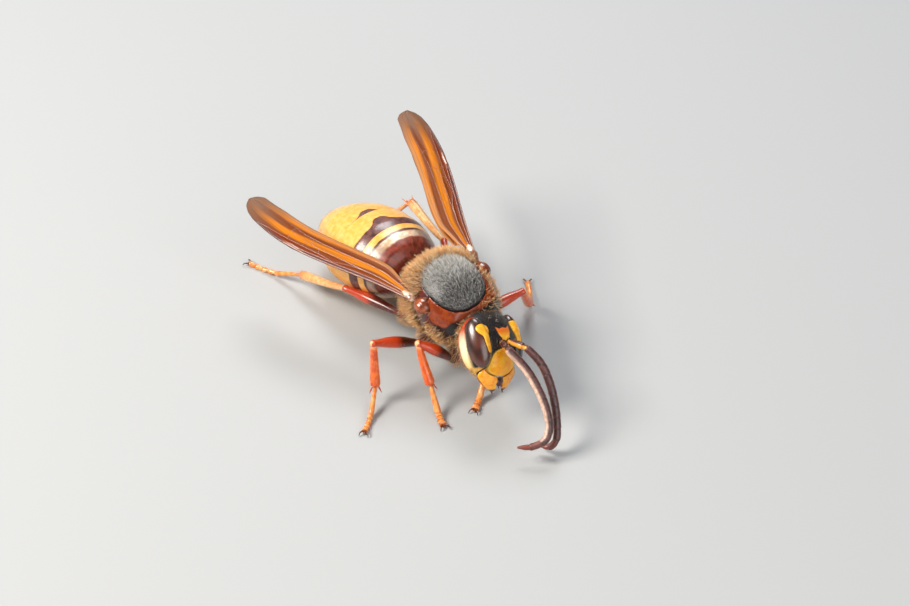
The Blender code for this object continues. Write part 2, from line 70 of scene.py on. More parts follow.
def curve_at(rows, places):
    """Rows of numbers on the smooth curve through the given rows, at fractional places along it."""
    rows = np.asarray(rows, float)
    places = np.atleast_1d(places)
    last = len(rows) - 1
    index = np.clip(places.astype(int), 0, last - 1)
    share = (places - index)[:, None]
    before, start = rows[np.maximum(index - 1, 0)], rows[index]
    end, after = rows[index + 1], rows[np.minimum(index + 2, last)]
    curve = 2 * start + (end - before) * share
    curve = curve + (2 * before - 5 * start + 4 * end - after) * share**2
    return (curve + (3 * start - before - 3 * end + after) * share**3) / 2


def unit_rows(rows):
    return rows / np.maximum(np.linalg.norm(rows, axis=1), 1e-9)[:, None]


def smooth_rows(rows, count):
    """So many rows, evenly spread along the smooth curve through the given ones."""
    return curve_at(rows, np.linspace(0, len(rows) - 1, count))


def oval(half_width, up, down, count, squareness=1.0):
    """Points round an egg-shaped section, as two columns: across and up."""
    angle = np.linspace(0, 2 * math.pi, count, endpoint=False)
    height = np.where(np.sin(angle) > 0, up, down)
    across = half_width * np.sign(np.cos(angle)) * np.abs(np.cos(angle))**squareness
    rise = height * np.sign(np.sin(angle)) * np.abs(np.sin(angle))**squareness
    return np.stack([across, rise], 1)


def ramp(values, low, high):
    """0 below low, 1 above high, and a soft step between."""
    share = np.clip((values - low) / (high - low), 0, 1)
    return share * share * (3 - 2 * share)


# %% Skins from rings
def ring_skin(rings):
    """Points and faces of a skin over an array of rings. Each end closes on a middle point."""
    rows, columns = rings.shape[:2]
    first, last, top = rows * columns, rows * columns + 1, (rows - 1) * columns
    points = np.vstack([rings.reshape(-1, 3), rings[0].mean(0), rings[-1].mean(0)])
    faces = []
    for column in range(columns):
        following = (column + 1) % columns
        for here in range(0, top, columns):
            ahead = here + columns
            faces.append((here + column, here + following, ahead + following, ahead + column))
        faces.append((first, following, column))
        faces.append((last, top + column, top + following))
    return points, faces


def sweep(route, widths, columns=20, flatness=1.0, side=(0.0, 0.0, 1.0)):
    """Rings along a route, each square to it. side is the direction the flat way of the rings keeps."""
    route = np.asarray(route, float)
    widths = np.broadcast_to(widths, len(route))
    flatness = np.broadcast_to(flatness, len(route))
    ahead = np.gradient(route, axis=0)
    ahead /= np.linalg.norm(ahead, axis=1)[:, None]
    across = np.cross(ahead, np.asarray(side, float))
    across /= np.linalg.norm(across, axis=1)[:, None]
    rise = np.cross(across, ahead)
    angle = np.linspace(0, 2 * math.pi, columns, endpoint=False)[None, :, None]
    width = widths[:, None, None]
    return (route[:, None] + across[:, None] * np.cos(angle) * width
            + rise[:, None] * np.sin(angle) * width * flatness[:, None, None])


def ball_rings(centre, axes, radii, columns=32, rows=20):
    """Rings over an ellipsoid on three given axes."""
    slope = np.linspace(0.03, math.pi - 0.03, rows)[:, None, None]
    angle = np.linspace(0, 2 * math.pi, columns, endpoint=False)[None, :, None]
    first, second, third = [np.asarray(axis) * radius for axis, radius in zip(axes, radii)]
    return (centre + first * np.sin(slope) * np.cos(angle) + second * np.sin(slope) * np.sin(angle)
            + third * np.cos(slope))


# %% Pieces
def plain_mesh(name, points, faces):
    data = bpy.data.meshes.new(name)
    data.from_pydata(np.asarray(points).tolist(), [], faces)
    data.update()
    return data


def show(thing):
    """Adds an object to the scene."""
    bpy.context.scene.collection.objects.link(thing)
    return thing


def evaluated(thing):
    """The plain mesh of an object after its modifiers."""
    graph = bpy.context.evaluated_depsgraph_get()
    return bpy.data.meshes.new_from_object(thing.evaluated_get(graph))


def points_of(data):
    values = np.empty(len(data.vertices) * 3)
    data.vertices.foreach_get("co", values)
    return values.reshape(-1, 3)


def set_points(data, points):
    data.vertices.foreach_set("co", points.ravel())
    data.update()


def normals_of(data):
    values = np.empty(len(data.vertices) * 3)
    data.vertex_normals.foreach_get("vector", values)
    return values.reshape(-1, 3)


def face_outwards(data):
    """Turns a closed mesh the right way out, whichever way its rings ran."""
    data.calc_loop_triangles()
    corners = np.empty(len(data.loop_triangles) * 3, np.int32)
    data.loop_triangles.foreach_get("vertices", corners)
    a, b, c = points_of(data)[corners.reshape(-1, 3)].transpose(1, 0, 2)
    if np.einsum("ij,ij->i", a, np.cross(b, c)).sum() < 0:
        data.flip_normals()


def put_values(data, name, values):
    """Stores a number or a vector on every vertex."""
    values = np.asarray(values, np.float32)
    kind = "FLOAT" if values.ndim == 1 else "FLOAT_VECTOR"
    field = "value" if values.ndim == 1 else "vector"
    data.attributes.new(name, kind, "POINT").data.foreach_set(field, values.ravel())


def finished(name, data, finish, nodes=(), slot=None):
    """Turns a mesh in millimetres into a piece in metres, and hides the solids that it stands for."""
    if nodes:
        name = name + "_skin"
    data.name = name
    data.transform(Matrix.Scale(MM, 4))
    data.shade_smooth()
    data.materials.clear()
    data.materials.append(finish)
    piece = show(bpy.data.objects.new(name, data))
    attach(piece, "root")
    if nodes:
        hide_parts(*nodes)
    return piece


# %% [markdown]
# ## Cutting one body into plates
#
# A hornet's thorax is a box of separate plates, and the seams between them are what makes it look
# built rather than moulded. Modelling each plate by hand would leave the edges not matching. Here one
# whole body is cut by simple tools, each plate is remeshed in small even squares, and a little
# smoothing rounds the cut edges, as the edges of real plates roll inwards.

# %% Boolean, remesh and smooth
def prism(outline, place, low, high):
    """A closed block: place(u, v, depth) puts the outline's points at the low and the high depth."""
    rings = [[place(u, v, depth) for u, v in outline] for depth in (low, high)]
    count = len(outline)
    faces = [tuple(reversed(range(count))), tuple(range(count, 2 * count))]
    for index in range(count):
        following = (index + 1) % count
        faces.append((index, following, count + following, count + index))
    return np.array(rings).reshape(-1, 3), faces


def carve(body, steps, grain, soften=4):
    """One plate: the body after each (operation, tool), in squares of the grain's size."""
    data = plain_mesh("working", *body)
    face_outwards(data)
    worker = show(bpy.data.objects.new("working", data))
    helpers = []
    for operation, tool in steps:
        tool_mesh = plain_mesh("tool", *tool)
        face_outwards(tool_mesh)
        helpers.append(show(bpy.data.objects.new("tool", tool_mesh)))
        cutter = worker.modifiers.new("cut", "BOOLEAN")
        cutter.operation = operation
        cutter.solver = "EXACT"
        cutter.object = helpers[-1]
    squares = worker.modifiers.new("squares", "REMESH")
    squares.mode = "VOXEL"
    squares.voxel_size = grain
    rounding = worker.modifiers.new("rounding", "SMOOTH")
    rounding.factor = 0.5
    rounding.iterations = soften
    result = evaluated(worker)
    for used in [worker, *helpers]:
        bpy.data.objects.remove(used)
    return result


def move_out(data, distances):
    """Moves every vertex along its own normal, in millimetres."""
    set_points(data, points_of(data) + normals_of(data) * np.asarray(distances)[:, None])


def line_distance(places, line):
    """The distance of every place from a line of straight stretches."""
    nearest = np.full(len(places), 1e9)
    for start, end in zip(np.asarray(line, float), np.asarray(line, float)[1:]):
        along = end - start
        share = np.clip((places - start) @ along / (along @ along), 0, 1)
        gap = np.linalg.norm(places - start - share[:, None] * along, axis=1)
        nearest = np.minimum(nearest, gap)
    return nearest


def outline_depth(places, outline):
    """How far inside a closed flat outline each place is: above 0 inside, below 0 outside."""
    outline = np.asarray(outline, float)
    ring = np.vstack([outline, outline[:1]])
    distance = line_distance(places, ring)
    inside = np.zeros(len(places), bool)
    for (x0, y0), (x1, y1) in zip(ring, ring[1:]):
        crosses = (y0 > places[:, 1]) != (y1 > places[:, 1])
        slope = (x1 - x0) / (y1 - y0) if y1 != y0 else 0.0
        inside ^= crosses & (places[:, 0] < x0 + (places[:, 1] - y0) * slope)
    return np.where(inside, distance, -distance)


# %% [markdown]
# ## Node trees written as sums
#
# Finishes and Geometry Nodes are both trees of nodes. A small class wraps a socket so that Python's
# own + - * / add the Math nodes, and a tree reads like the sum it works out. Colours go through Mix
# nodes instead, since a Math node would turn them grey.

# %% Sockets and trees
class Socket:
    """The output of a node. Arithmetic on it adds Math nodes."""

    def __init__(self, tree, output):
        self.tree = tree
        self.output = output

    def maths(self, operation, *values):
        return self.tree.node("ShaderNodeMath", {"operation": operation}, dict(enumerate(values)))

    def __add__(self, other):
        return self.maths("ADD", self, other)

    def __sub__(self, other):
        return self.maths("SUBTRACT", self, other)

    def __rsub__(self, other):
        return self.maths("SUBTRACT", other, self)

    def __mul__(self, other):
        return self.maths("MULTIPLY", self, other)

    def __truediv__(self, other):
        return self.maths("DIVIDE", self, other)

    def __pow__(self, other):
        return self.maths("POWER", self, other)

    def __abs__(self):
        return self.maths("ABSOLUTE", self)

    def __rtruediv__(self, other):
        return self.maths("DIVIDE", other, self)

    __radd__ = __add__
    __rmul__ = __mul__


class Tree:
    """A node tree that grows one node at a time."""

    def __init__(self, nodes):
        self.nodes = nodes

    def feed(self, socket, value):
        if isinstance(value, Socket):
            self.nodes.links.new(value.output, socket)
        elif isinstance(value, tuple) and len(value) == 3 and socket.type == "RGBA":
            socket.default_value = (*value, 1.0)
        else:
            socket.default_value = value

    def node(self, kind, settings=None, inputs=None, output=0):
        """Adds a node: its settings first, then the value or link of each input."""
        node = self.nodes.nodes.new(kind)
        for name, value in (settings or {}).items():
            setattr(node, name, value)
        for name, value in (inputs or {}).items():
            named = [socket for socket in node.inputs if socket.name == name and socket.enabled]
            self.feed(named[0] if named else node.inputs[name], value)
        return Socket(self, node.outputs[output])

    def step(self, value, low, high):
        """0 below low, 1 above high, and a soft step between."""
        return self.node("ShaderNodeMapRange", {"interpolation_type": "SMOOTHSTEP"},
                         {"Value": value, "From Min": low, "From Max": high})

    def vector(self, operation, *values, output=0):
        return self.node("ShaderNodeVectorMath", {"operation": operation},
                         dict(enumerate(values)), output)


class Finish(Tree):
    """A material on the Principled shader. Keyword values are set on its sockets for good."""

    def __init__(self, name, **constants):
        self.material = bpy.data.materials.new(name)
        self.material.use_nodes = True
        super().__init__(self.material.node_tree)
        self.shader = self.nodes.nodes["Principled BSDF"]
        for key, value in constants.items():
            self.feed(self.shader.inputs[key.replace("_", " ").title().replace("Ior", "IOR")], value)
        self.place = self.node("ShaderNodeTexCoord", output=3)

    def value(self, name):
        """A number stored on the mesh."""
        return self.node("ShaderNodeAttribute", {"attribute_name": name}, output=2)

    def noise(self, per_mm, detail=3.0, roughness=0.5):
        return self.node("ShaderNodeTexNoise", None,
                         {"Vector": self.place, "Scale": per_mm / MM, "Detail": detail,
                          "Roughness": roughness})

    def cells(self, per_mm, randomness=1.0):
        """The distance from the nearest of many scattered points: 0 at the point itself."""
        return self.node("ShaderNodeTexVoronoi", None,
                         {"Vector": self.place, "Scale": per_mm / MM, "Randomness": randomness})

    def mottle(self, per_mm, detail, low=0.35, high=0.7):
        """Soft blotches between 0 and 1."""
        return self.step(self.noise(per_mm, detail), low, high)

    def pits(self, per_mm, low=0.05, high=0.3):
        """Punctures: 0 at the bottom of each, and 1 on the skin between them."""
        return self.step(self.cells(per_mm), low, high)

    def mix(self, share, first, second):
        """The first colour where share is 0, and the second where it is 1."""
        return self.node("ShaderNodeMix", {"data_type": "RGBA"}, {0: share, 6: first, 7: second}, 2)

    def over(self, tone, *layers):
        """Lays each (share, colour) over the tone in turn."""
        for share, colour in layers:
            tone = self.mix(share, tone, colour)
        return tone

    def paint(self, **links):
        for key, value in links.items():
            self.feed(self.shader.inputs[key.replace("_", " ").title()], value)
        return self.material

    def bumps(self, height, distance_mm, strength=1.0):
        return self.node("ShaderNodeBump", None,
                         {"Height": height, "Strength": strength, "Distance": distance_mm * MM})


def rgb(red, green, blue):
    """A colour named as on a screen, from 0 to 255, as the light values that a shader needs."""
    return tuple(((value / 255 + 0.055) / 1.055)**2.4 if value > 10 else value / 3295
                 for value in (red, green, blue))


# %% [markdown]
# ## The animal's own sizes
#
# The same few rows of numbers that shape the solids shape the skins, so that the two agree. Only one
# thing has to be read from the frame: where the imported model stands. The third ring of the abdomen
# tells it, because its box is known in both.

# %% Sizes of the body
SEAM = 0.05
THORAX_CENTRE = np.array((0.0, 0.0, 6.75))
THORAX_ROLL = math.radians(8.0)
HEAD_CENTRE = np.array((-0.6, -6.05, 5.55))
HEAD_LEFT = unit((0.90, 0.09, -0.42))
HEAD_UP = unit(np.cross(HEAD_LEFT, -np.array((0.30, -0.81, 0.475))))
HEAD_FRONT = np.cross(HEAD_LEFT, HEAD_UP)
GASTER_START = np.array((0.0, 4.5, 5.9))
GASTER_DROOP = math.radians(12.0)
GASTER_RADIUS = 4.12
SEGMENT_ENDS = (0.0, 3.5, 6.6, 8.9, 10.6, 11.9, 12.9, 13.6)
GASTER_ROWS = np.array(((0.0, 0.1), (0.45, 0.24), (0.8, 0.47), (1.35, 0.68), (2.5, 0.84), (4.2, 0.965),
                        (6.2, 1.0), (8.2, 0.955), (10.0, 0.82), (11.5, 0.64), (12.7, 0.44), (13.6, 0.16)))
GASTER_AIM = np.array((0.0, math.cos(GASTER_DROOP), -math.sin(GASTER_DROOP)))
GASTER_UP = np.array((0.0, math.sin(GASTER_DROOP), math.cos(GASTER_DROOP)))
SIDES = (("left", 1.0), ("right", -1.0))


def gaster_radius(distance):
    """The radius of the abdomen at distances along it."""
    distance = np.atleast_1d(distance).astype(float)
    row = np.clip(np.searchsorted(GASTER_ROWS[:, 0], distance) - 1, 0, len(GASTER_ROWS) - 2)
    start, end = GASTER_ROWS[row, 0], GASTER_ROWS[row + 1, 0]
    place = row + np.clip((distance - start) / (end - start), 0, 1)
    return GASTER_RADIUS * curve_at(GASTER_ROWS[:, 1:], place)[:, 0]


def gaster_ring(distance, scale=1.0, columns=20, grow=0.0):
    """One ring of the abdomen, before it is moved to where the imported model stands."""
    radius = gaster_radius(distance)[0] * scale + grow
    flat = oval(radius, radius * 0.88, radius * 0.78, columns, 0.96)
    centre = GASTER_START + GASTER_AIM * distance
    return centre + flat[:, :1] * np.array((1.0, 0.0, 0.0)) + flat[:, 1:] * GASTER_UP


def find_shift():
    """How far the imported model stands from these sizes, read from the abdomen's third ring."""
    start, end = SEGMENT_ENDS[2] + SEAM, SEGMENT_ENDS[3]
    rings = [gaster_ring(start + (end - start) * share, 0.965 if share == 0 else 1.0)
             for share in (0.0, 0.15, 0.6, 1.0)]
    points = np.concatenate(rings)
    low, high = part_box("gaster_3")
    return (np.array(low) + np.array(high)) / 2 / MM - (points.min(0) + points.max(0)) / 2


SHIFT = find_shift()
THORAX_CENTRE = THORAX_CENTRE + SHIFT
HEAD_CENTRE = HEAD_CENTRE + SHIFT
GASTER_START = GASTER_START + SHIFT
print("the packed model stands", SHIFT.round(3), "mm from the plain sizes")


def on_thorax(x, y, z):
    """A point left, back and up of the thorax centre."""
    cos, sin = math.cos(THORAX_ROLL), math.sin(THORAX_ROLL)
    return THORAX_CENTRE + np.array((x * cos - z * sin, y, x * sin + z * cos))


THORAX_LEFT = on_thorax(1, 0, 0) - on_thorax(0, 0, 0)
THORAX_UP = on_thorax(0, 0, 1) - on_thorax(0, 0, 0)


def thorax_places(points):
    """The same places as left, back and up of the thorax centre."""
    cos, sin = math.cos(THORAX_ROLL), math.sin(THORAX_ROLL)
    x, y, z = (points - THORAX_CENTRE).T
    return np.stack([x * cos + z * sin, y, z * cos - x * sin], 1)


def on_head(x, y, z):
    """A point left, forward and up of the head's centre."""
    return HEAD_CENTRE + HEAD_LEFT * x + HEAD_FRONT * y + HEAD_UP * z


def head_places(points):
    return (points - HEAD_CENTRE) @ np.stack([HEAD_LEFT, HEAD_FRONT, HEAD_UP], 1)


# Each row: height from the head centre, half width, reach to the front, reach to the back.
HEAD_ROWS = np.array(((-2.1, 1.3, 0.95, 0.15), (-1.9, 1.75, 1.15, 0.45), (-1.2, 2.33, 1.4, 1.1),
                      (-0.2, 2.68, 1.62, 1.5), (0.9, 2.8, 1.75, 1.62), (1.8, 2.62, 1.45, 1.5),
                      (2.55, 2.05, 0.85, 1.1), (3.0, 1.2, 0.3, 0.7)))
HEAD_SQUARENESS = 0.9


def head_rings(grow=0.0, rows=64, columns=96):
    rings = []
    for z, half_width, front, back in smooth_rows(HEAD_ROWS, rows):
        flat = oval(half_width + grow, front + grow, back + grow, columns, HEAD_SQUARENESS)
        rings.append([on_head(x, y, z) for x, y in flat])
    return np.array(rings)


def face_reach(x, z):
    """How far forward the face reaches at a place left and up of the head's centre."""
    rows = smooth_rows(HEAD_ROWS, 80)
    half_width, front = np.interp(z, rows[:, 0], rows[:, 1]), np.interp(z, rows[:, 0], rows[:, 2])
    across = np.clip(np.abs(x) / half_width, 0, 1)
    return front * (1 - across**(2 / HEAD_SQUARENESS))**(HEAD_SQUARENESS / 2)


# %% [markdown]
# ## The camera, the light and the floor
#
# The view is from the animal's right front, forty degrees above the floor, through a long lens: a
# short one would swell the head. The key light is large and stands to the left, a low fill keeps the
# shaded side readable, and a light behind shines through the wings.

# %% Camera
VIEW_TURN = math.radians(-36.0)
VIEW_RISE = math.radians(40.0)
VIEW_DISTANCE = 185.0
VIEW_RIGHT = np.array((math.cos(VIEW_TURN), math.sin(VIEW_TURN), 0.0))
VIEW_BACK = np.array((math.sin(VIEW_TURN) * math.cos(VIEW_RISE),
                      -math.cos(VIEW_TURN) * math.cos(VIEW_RISE), math.sin(VIEW_RISE)))
VIEW_UP = np.cross(VIEW_BACK, VIEW_RIGHT)
THORAX_FROM_AIM = (-0.65, 0.49)  # the thorax stands this far right of and above the view's middle
aim = THORAX_CENTRE + np.array((-0.25, 0.15, 0.0))
aim = aim - VIEW_RIGHT * THORAX_FROM_AIM[0] - VIEW_UP * THORAX_FROM_AIM[1]


def stand_at(thing, right, up, back):
    """Puts a camera or a lamp at a place given along the view's own axes, looking at the aim."""
    place = aim + VIEW_RIGHT * right + VIEW_UP * up + VIEW_BACK * back
    away = unit(place - aim)
    side = unit(np.cross((0.0, 0.0, 1.0), away))
    rows = np.stack([side, np.cross(away, side), away, place * MM], 1)
    show(thing).matrix_world = Matrix([*rows.tolist(), (0.0, 0.0, 0.0, 1.0)])


lens = bpy.data.cameras.new("camera")
lens.sensor_width = 36.0
lens.lens = 90.0
lens.clip_start = 0.01
camera = bpy.data.objects.new("camera", lens)
stand_at(camera, 0.0, 0.0, VIEW_DISTANCE)
bpy.context.scene.camera = camera
bpy.context.scene.view_settings.view_transform = "Standard"
print("camera", (np.array(camera.matrix_world.translation) / MM).round(1), "mm")


# %% Light and floor
def add_lamp(name, power, size, colour, right, up, back):
    lamp = bpy.data.lights.new(name, "AREA")
    lamp.energy = power
    lamp.size = size * MM
    lamp.color = colour
    stand_at(bpy.data.objects.new(name, lamp), right, up, back)


add_lamp("key", 1.25, 120.0, (1.0, 0.95, 0.87), -210.0, 130.0, 160.0)
add_lamp("fill", 0.42, 220.0, (1.0, 0.98, 0.95), 120.0, -30.0, 240.0)
add_lamp("behind", 0.5, 110.0, (0.96, 0.98, 1.0), 0.0, 290.0, 10.0)
world = bpy.data.worlds.new("studio")
world.use_nodes = True
sky = world.node_tree.nodes["Background"].inputs
sky["Color"].default_value = (0.75, 0.78, 0.82, 1.0)
sky["Strength"].default_value = 0.2
bpy.context.scene.world = world

FLOOR_HALF = 300.0
floor_corners = np.array(((-1, -1, 0), (1, -1, 0), (1, 1, 0), (-1, 1, 0))) * FLOOR_HALF * MM
floor_mesh = plain_mesh("floor", floor_corners, [(0, 1, 2, 3)])
floor_finish = Finish("floor_finish", base_color=(0.42, 0.43, 0.44), roughness=0.85)
floor_mesh.materials.append(floor_finish.material)
floor = show(bpy.data.objects.new("floor", floor_mesh))


# %% [markdown]
# ## Finishes for horn
#
# The shell of an insect is horn-like chitin: hard, glossy, thin enough in places to glow. It is never
# one flat colour. Each finish here varies in tone over a few tenths of a millimetre, is pitted with
# fine punctures, and is a little rougher in its pits.

# %% Horn finishes
def horn(name, dark, light, roughness=0.3, pits=9.0, pit_depth=0.006, coat=0.5):
    """Plain horn between two tones, with fine pits."""
    finish = Finish(name, coat_weight=coat, coat_roughness=0.12, specular_ior_level=0.55)
    patches = finish.mottle(1.4, 4.0, 0.35, 0.68)
    pitted = finish.pits(pits)
    height = pitted * 0.7 + finish.noise(pits * 1.7, 2.0) * 0.5
    return finish.paint(base_color=finish.mix(patches, dark, light),
                        roughness=roughness + (1 - pitted) * 0.15 + finish.noise(3.0) * 0.08,
                        normal=finish.bumps(height, pit_depth))


black_horn = horn("black_horn", rgb(10, 8, 9), rgb(28, 24, 26), 0.46, 11.0, 0.016, 0.15)
dark_red_horn = horn("dark_red_horn", rgb(52, 10, 7), rgb(104, 24, 12), 0.28)


# %% [markdown]
# ## The thorax
#
# Five plates make the thorax: the pronotum wraps the front like a collar, the mesoscutum is the dark
# dome that carries the wing muscles, the scutellum is the low cushion behind it, the side wall is the
# mesothorax, and the propodeum closes the rear. Their seams stay open as narrow dark grooves. Lines
# such as the two short ones on the dome are pressed in afterwards by moving vertices along their
# normals, because a cut that shallow would not survive the remesh.

# %% The whole thorax, and the tools that divide it
THORAX_ROWS = ((-4.05, 0.85, -0.05, 1.75), (-3.8, 1.75, 0.85, 2.2), (-3.2, 2.55, 1.8, 2.65),
               (-2.0, 3.05, 2.75, 3.0), (-0.6, 3.25, 3.2, 3.1), (0.9, 3.2, 3.2, 3.0),
               (2.2, 2.9, 2.75, 2.8), (3.1, 2.45, 1.9, 2.5), (3.8, 1.7, 0.7, 2.1), (4.2, 0.8, -0.25, 1.65))
# x, y, half width, reach to the back and to the front, and where each ends below
SCUTUM = (-0.05, -0.85, 2.3, 2.3, 2.6, 0.75)
SCUTELLUM = (0.0, 2.05, 1.95, 0.95, 0.95, 1.3)
PRONOTUM_SLOPE = ((-0.75, 3.6), (-0.95, 1.3), (-3.1, -1.3), (-3.3, -3.8))
PROPODEUM_SLOPE = ((2.2, 3.8), (3.0, 1.5), (2.6, -1.0), (3.1, -3.6))
THORAX_GRAIN = 0.07


def thorax_skin(grow=0.0):
    rings = []
    for y, half_width, up, down in smooth_rows(THORAX_ROWS, 73):
        flat = oval(half_width + grow, up + grow, down + grow, 96, 0.93)
        rings.append([on_thorax(x, y + grow * y / 4.2, z) for x, z in flat])
    return ring_skin(np.array(rings))


def column_tool(shape, grow=0.0):
    """A solid oval column, which takes a plate out of the top of the thorax."""
    x, y, half_width, back, front, low = shape
    flat = oval(half_width + grow, back + grow, front + grow, 72, 0.84)
    return prism([(x + u, y + v) for u, v in flat], on_thorax, low - grow, 6.0)


def end_tool(slope, reach, grow=0.0):
    """A solid that holds everything beyond a bent line seen from the side, towards y = reach."""
    shift = -grow if reach > 0 else grow
    rows = smooth_rows(slope, 16)
    outline = [(y + shift, z) for y, z in rows]
    outline += [(reach, outline[-1][1] - 1.0), (reach, outline[0][1] + 1.0)]
    return prism(outline, lambda y, z, depth: on_thorax(depth, y, z), -6.0, 6.0)


CUT = "DIFFERENCE"
KEEP = "INTERSECT"
gap = SEAM * 0.6
whole = thorax_skin()
scutum_room = column_tool(SCUTUM, gap)
scutellum_room = column_tool(SCUTELLUM, gap)
head_room = ring_skin(head_rings(SEAM))
thorax_cuts = {
    "mesoscutum": [(KEEP, column_tool(SCUTUM, -gap))],
    "scutellum": [(KEEP, column_tool(SCUTELLUM, -gap)), (CUT, scutum_room)],
    "pronotum": [(KEEP, end_tool(PRONOTUM_SLOPE, -6.0, -gap)), (CUT, scutum_room), (CUT, head_room)],
    "propodeum": [(KEEP, end_tool(PROPODEUM_SLOPE, 6.0, -gap)), (CUT, scutellum_room)],
    "mesothorax": [(CUT, scutum_room), (CUT, scutellum_room),
                   (CUT, end_tool(PRONOTUM_SLOPE, -6.0, gap)), (CUT, end_tool(PROPODEUM_SLOPE, 6.0, gap))],
}


# %% Lines pressed into the plates
THORAX_LINES = {  # each line of the left half, mirrored on the right, with its width and its depth
    "mesoscutum": [(((0, -3.0, 2.4), (0, -1.2, 3.1)), 0.07, 0.035),
                   (((0.85, -1.2, 3.0), (0.8, 0.9, 3.0)), 0.06, 0.03)],
    "scutellum": [(((0, 1.2, 3.1), (0, 3.0, 2.3)), 0.12, 0.07)],
    "pronotum": [(((0, -3.35, 1.9), (2.2, -3.0, 1.4), (2.9, -2.2, 1.2)), 0.1, 0.05)],
    "propodeum": [(((0, 3.0, 2.0), (0, 4.2, -0.2)), 0.2, 0.12)],
    "mesothorax": [(((3.1, 0.9, 1.2), (3.1, 0.1, -0.4), (2.4, 0.4, -2.2)), 0.12, 0.08),
                   (((3.1, -0.9, 0.2), (2.7, -1.4, -1.5)), 0.09, 0.05),
                   (((0, 3.1, 2.2), (2.2, 3.0, 1.6)), 0.1, 0.06)],
}
collar = Finish("collar_horn", coat_weight=0.35, coat_roughness=0.16, specular_ior_level=0.4)
height = collar.value("height") + (collar.noise(2.0, 3.0) - 0.5) * 0.25
mottle = collar.mottle(1.6, 2.0, 0.3, 0.75)
# Low down, and at its front edge by the head, the collar is painted near-black: painted shade.
collar_tone = collar.over(rgb(120, 42, 6), (mottle, rgb(150, 62, 12)),
                          (collar.step(height, 0.55, 0.3), rgb(16, 10, 10)))
pitted = collar.pits(8.0)
collar.paint(base_color=collar_tone, roughness=0.24 + mottle * 0.12, normal=collar.bumps(pitted, 0.005))
thorax_finishes = {"mesoscutum": black_horn, "scutellum": dark_red_horn, "pronotum": collar.material,
                   "propodeum": black_horn, "mesothorax": dark_red_horn}
thorax_slots = {"mesoscutum": "black_shell", "scutellum": "red_shell", "pronotum": "red_shell",
                "propodeum": "black_shell", "mesothorax": "black_shell"}
for name, steps in thorax_cuts.items():
    plate = carve(whole, steps, THORAX_GRAIN)
    places = thorax_places(points_of(plate))
    folded = np.column_stack([np.abs(places[:, 0]), places[:, 1:]])
    press = np.zeros(len(places))
    for line, width, depth in THORAX_LINES[name]:
        press -= depth * np.exp(-(line_distance(folded, line) / width)**2)
    move_out(plate, press)
    # The height, set lower at the very front, places the collar's painted shade.
    put_values(plate, "height", places[:, 2] - 0.55 * ramp(-places[:, 1], 2.8, 3.5))
    finished(name, plate, thorax_finishes[name], [name], thorax_slots[name])
    print(name, len(plate.polygons), "faces")


# %% [markdown]
# ## The head
#
# The head gets the most care. The eyes are kidney-shaped: a notch in the inner edge of each is filled
# by a yellow patch of the face. Between the feelers sits a small raised shield, orange above and
# yellow below. The brow is black, the temples are red-brown above and yellow below, and the clypeus
# is an amber plate with a paler rim. All of these marks are stored as distances from an outline, in
# millimetres, so that the finish can draw each edge as sharp as it likes.

# %% Shapes of the eyes, the clypeus and the jaws
EYE_CENTRE = (2.02, 0.72, 0.72)
EYE_RADII = (0.75, 1.02, 2.03)
EYE_TURN = math.radians(-24.0)
EYE_LEAN = math.radians(-12.0)
HEAD_GRAIN = 0.05
# Outlines seen from the front of the head: left of its middle line, and up.
EYE_PATCH = ((1.34, 2.0), (1.66, 2.2), (2.05, 2.22), (2.36, 2.04), (2.46, 1.76), (2.34, 1.46),
             (2.16, 1.22), (2.1, 0.7), (1.98, 0.15), (1.84, -0.12), (1.58, 0.0), (1.58, 0.7),
             (1.5, 1.25), (1.34, 1.66))
SHIELD = ((-0.66, 1.86), (-0.3, 1.68), (0.12, 1.76), (0.54, 1.68), (0.9, 1.86), (0.8, 1.3), (0.52, 0.82),
          (0.12, 0.68), (-0.28, 0.82), (-0.56, 1.3))
CLYPEUS_HALF = ((0.0, 0.12), (0.5, 0.12), (0.95, -0.06), (1.25, -0.42), (1.42, -0.9), (1.54, -1.35),
                (1.3, -1.72), (0.8, -1.98), (0.4, -2.1), (0.0, -2.14))
clypeus_closed = list(CLYPEUS_HALF) + [(-x, z) for x, z in reversed(CLYPEUS_HALF[:-1])]
clypeus_outline = smooth_rows(clypeus_closed, 81)[:-1]
patch_outline = smooth_rows([*EYE_PATCH, EYE_PATCH[0]], 61)[:-1]
# Each row of a jaw: left, forward and up of the head's centre, then its half width.
JAW_ROWS = ((1.32, 0.82, -1.3, 0.5), (1.3, 0.8, -1.6, 0.78), (1.2, 0.76, -2.0, 0.86),
            (0.98, 0.65, -2.6, 0.6), (0.72, 0.56, -3.05, 0.34), (0.6, 0.52, -3.27, 0.12))
JAW_TURN = {1.0: math.radians(12.0), -1.0: math.radians(40.0)}  # the left jaw is turned forwards more
JAW_TILT = 0.32  # the outer end of each row hangs this much lower than the inner
TORULUS = (0.42, 1.72, 0.62)  # the socket of a feeler: left, forward and up


def turned(vector, axis, angle):
    """A vector turned about an axis."""
    cos, sin = math.cos(angle), math.sin(angle)
    return vector * cos + np.cross(axis, vector) * sin + axis * (axis @ vector) * (1 - cos)


def grow_outline(outline, amount):
    """A closed outline moved outwards from its own middle."""
    outward = outline - outline.mean(0)
    return outline + outward / np.linalg.norm(outward, axis=1)[:, None] * amount


def front_prism(outline, side, low, high=3.0):
    """A block over an outline on the front of the head."""
    return prism(outline, lambda x, z, y: on_head(side * x, y, z), low, high)


def eye_axes(side):
    """An eye's centre, and the directions of its three radii."""
    axes = [turned(turned(axis, HEAD_UP, side * EYE_TURN), HEAD_LEFT, EYE_LEAN)
            for axis in (HEAD_LEFT, HEAD_FRONT, HEAD_UP)]
    return on_head(side * EYE_CENTRE[0], *EYE_CENTRE[1:]), axes


def eye_ball(side, grow=0.0):
    centre, axes = eye_axes(side)
    return ring_skin(ball_rings(centre, axes, [radius + grow for radius in EYE_RADII], 96, 64))


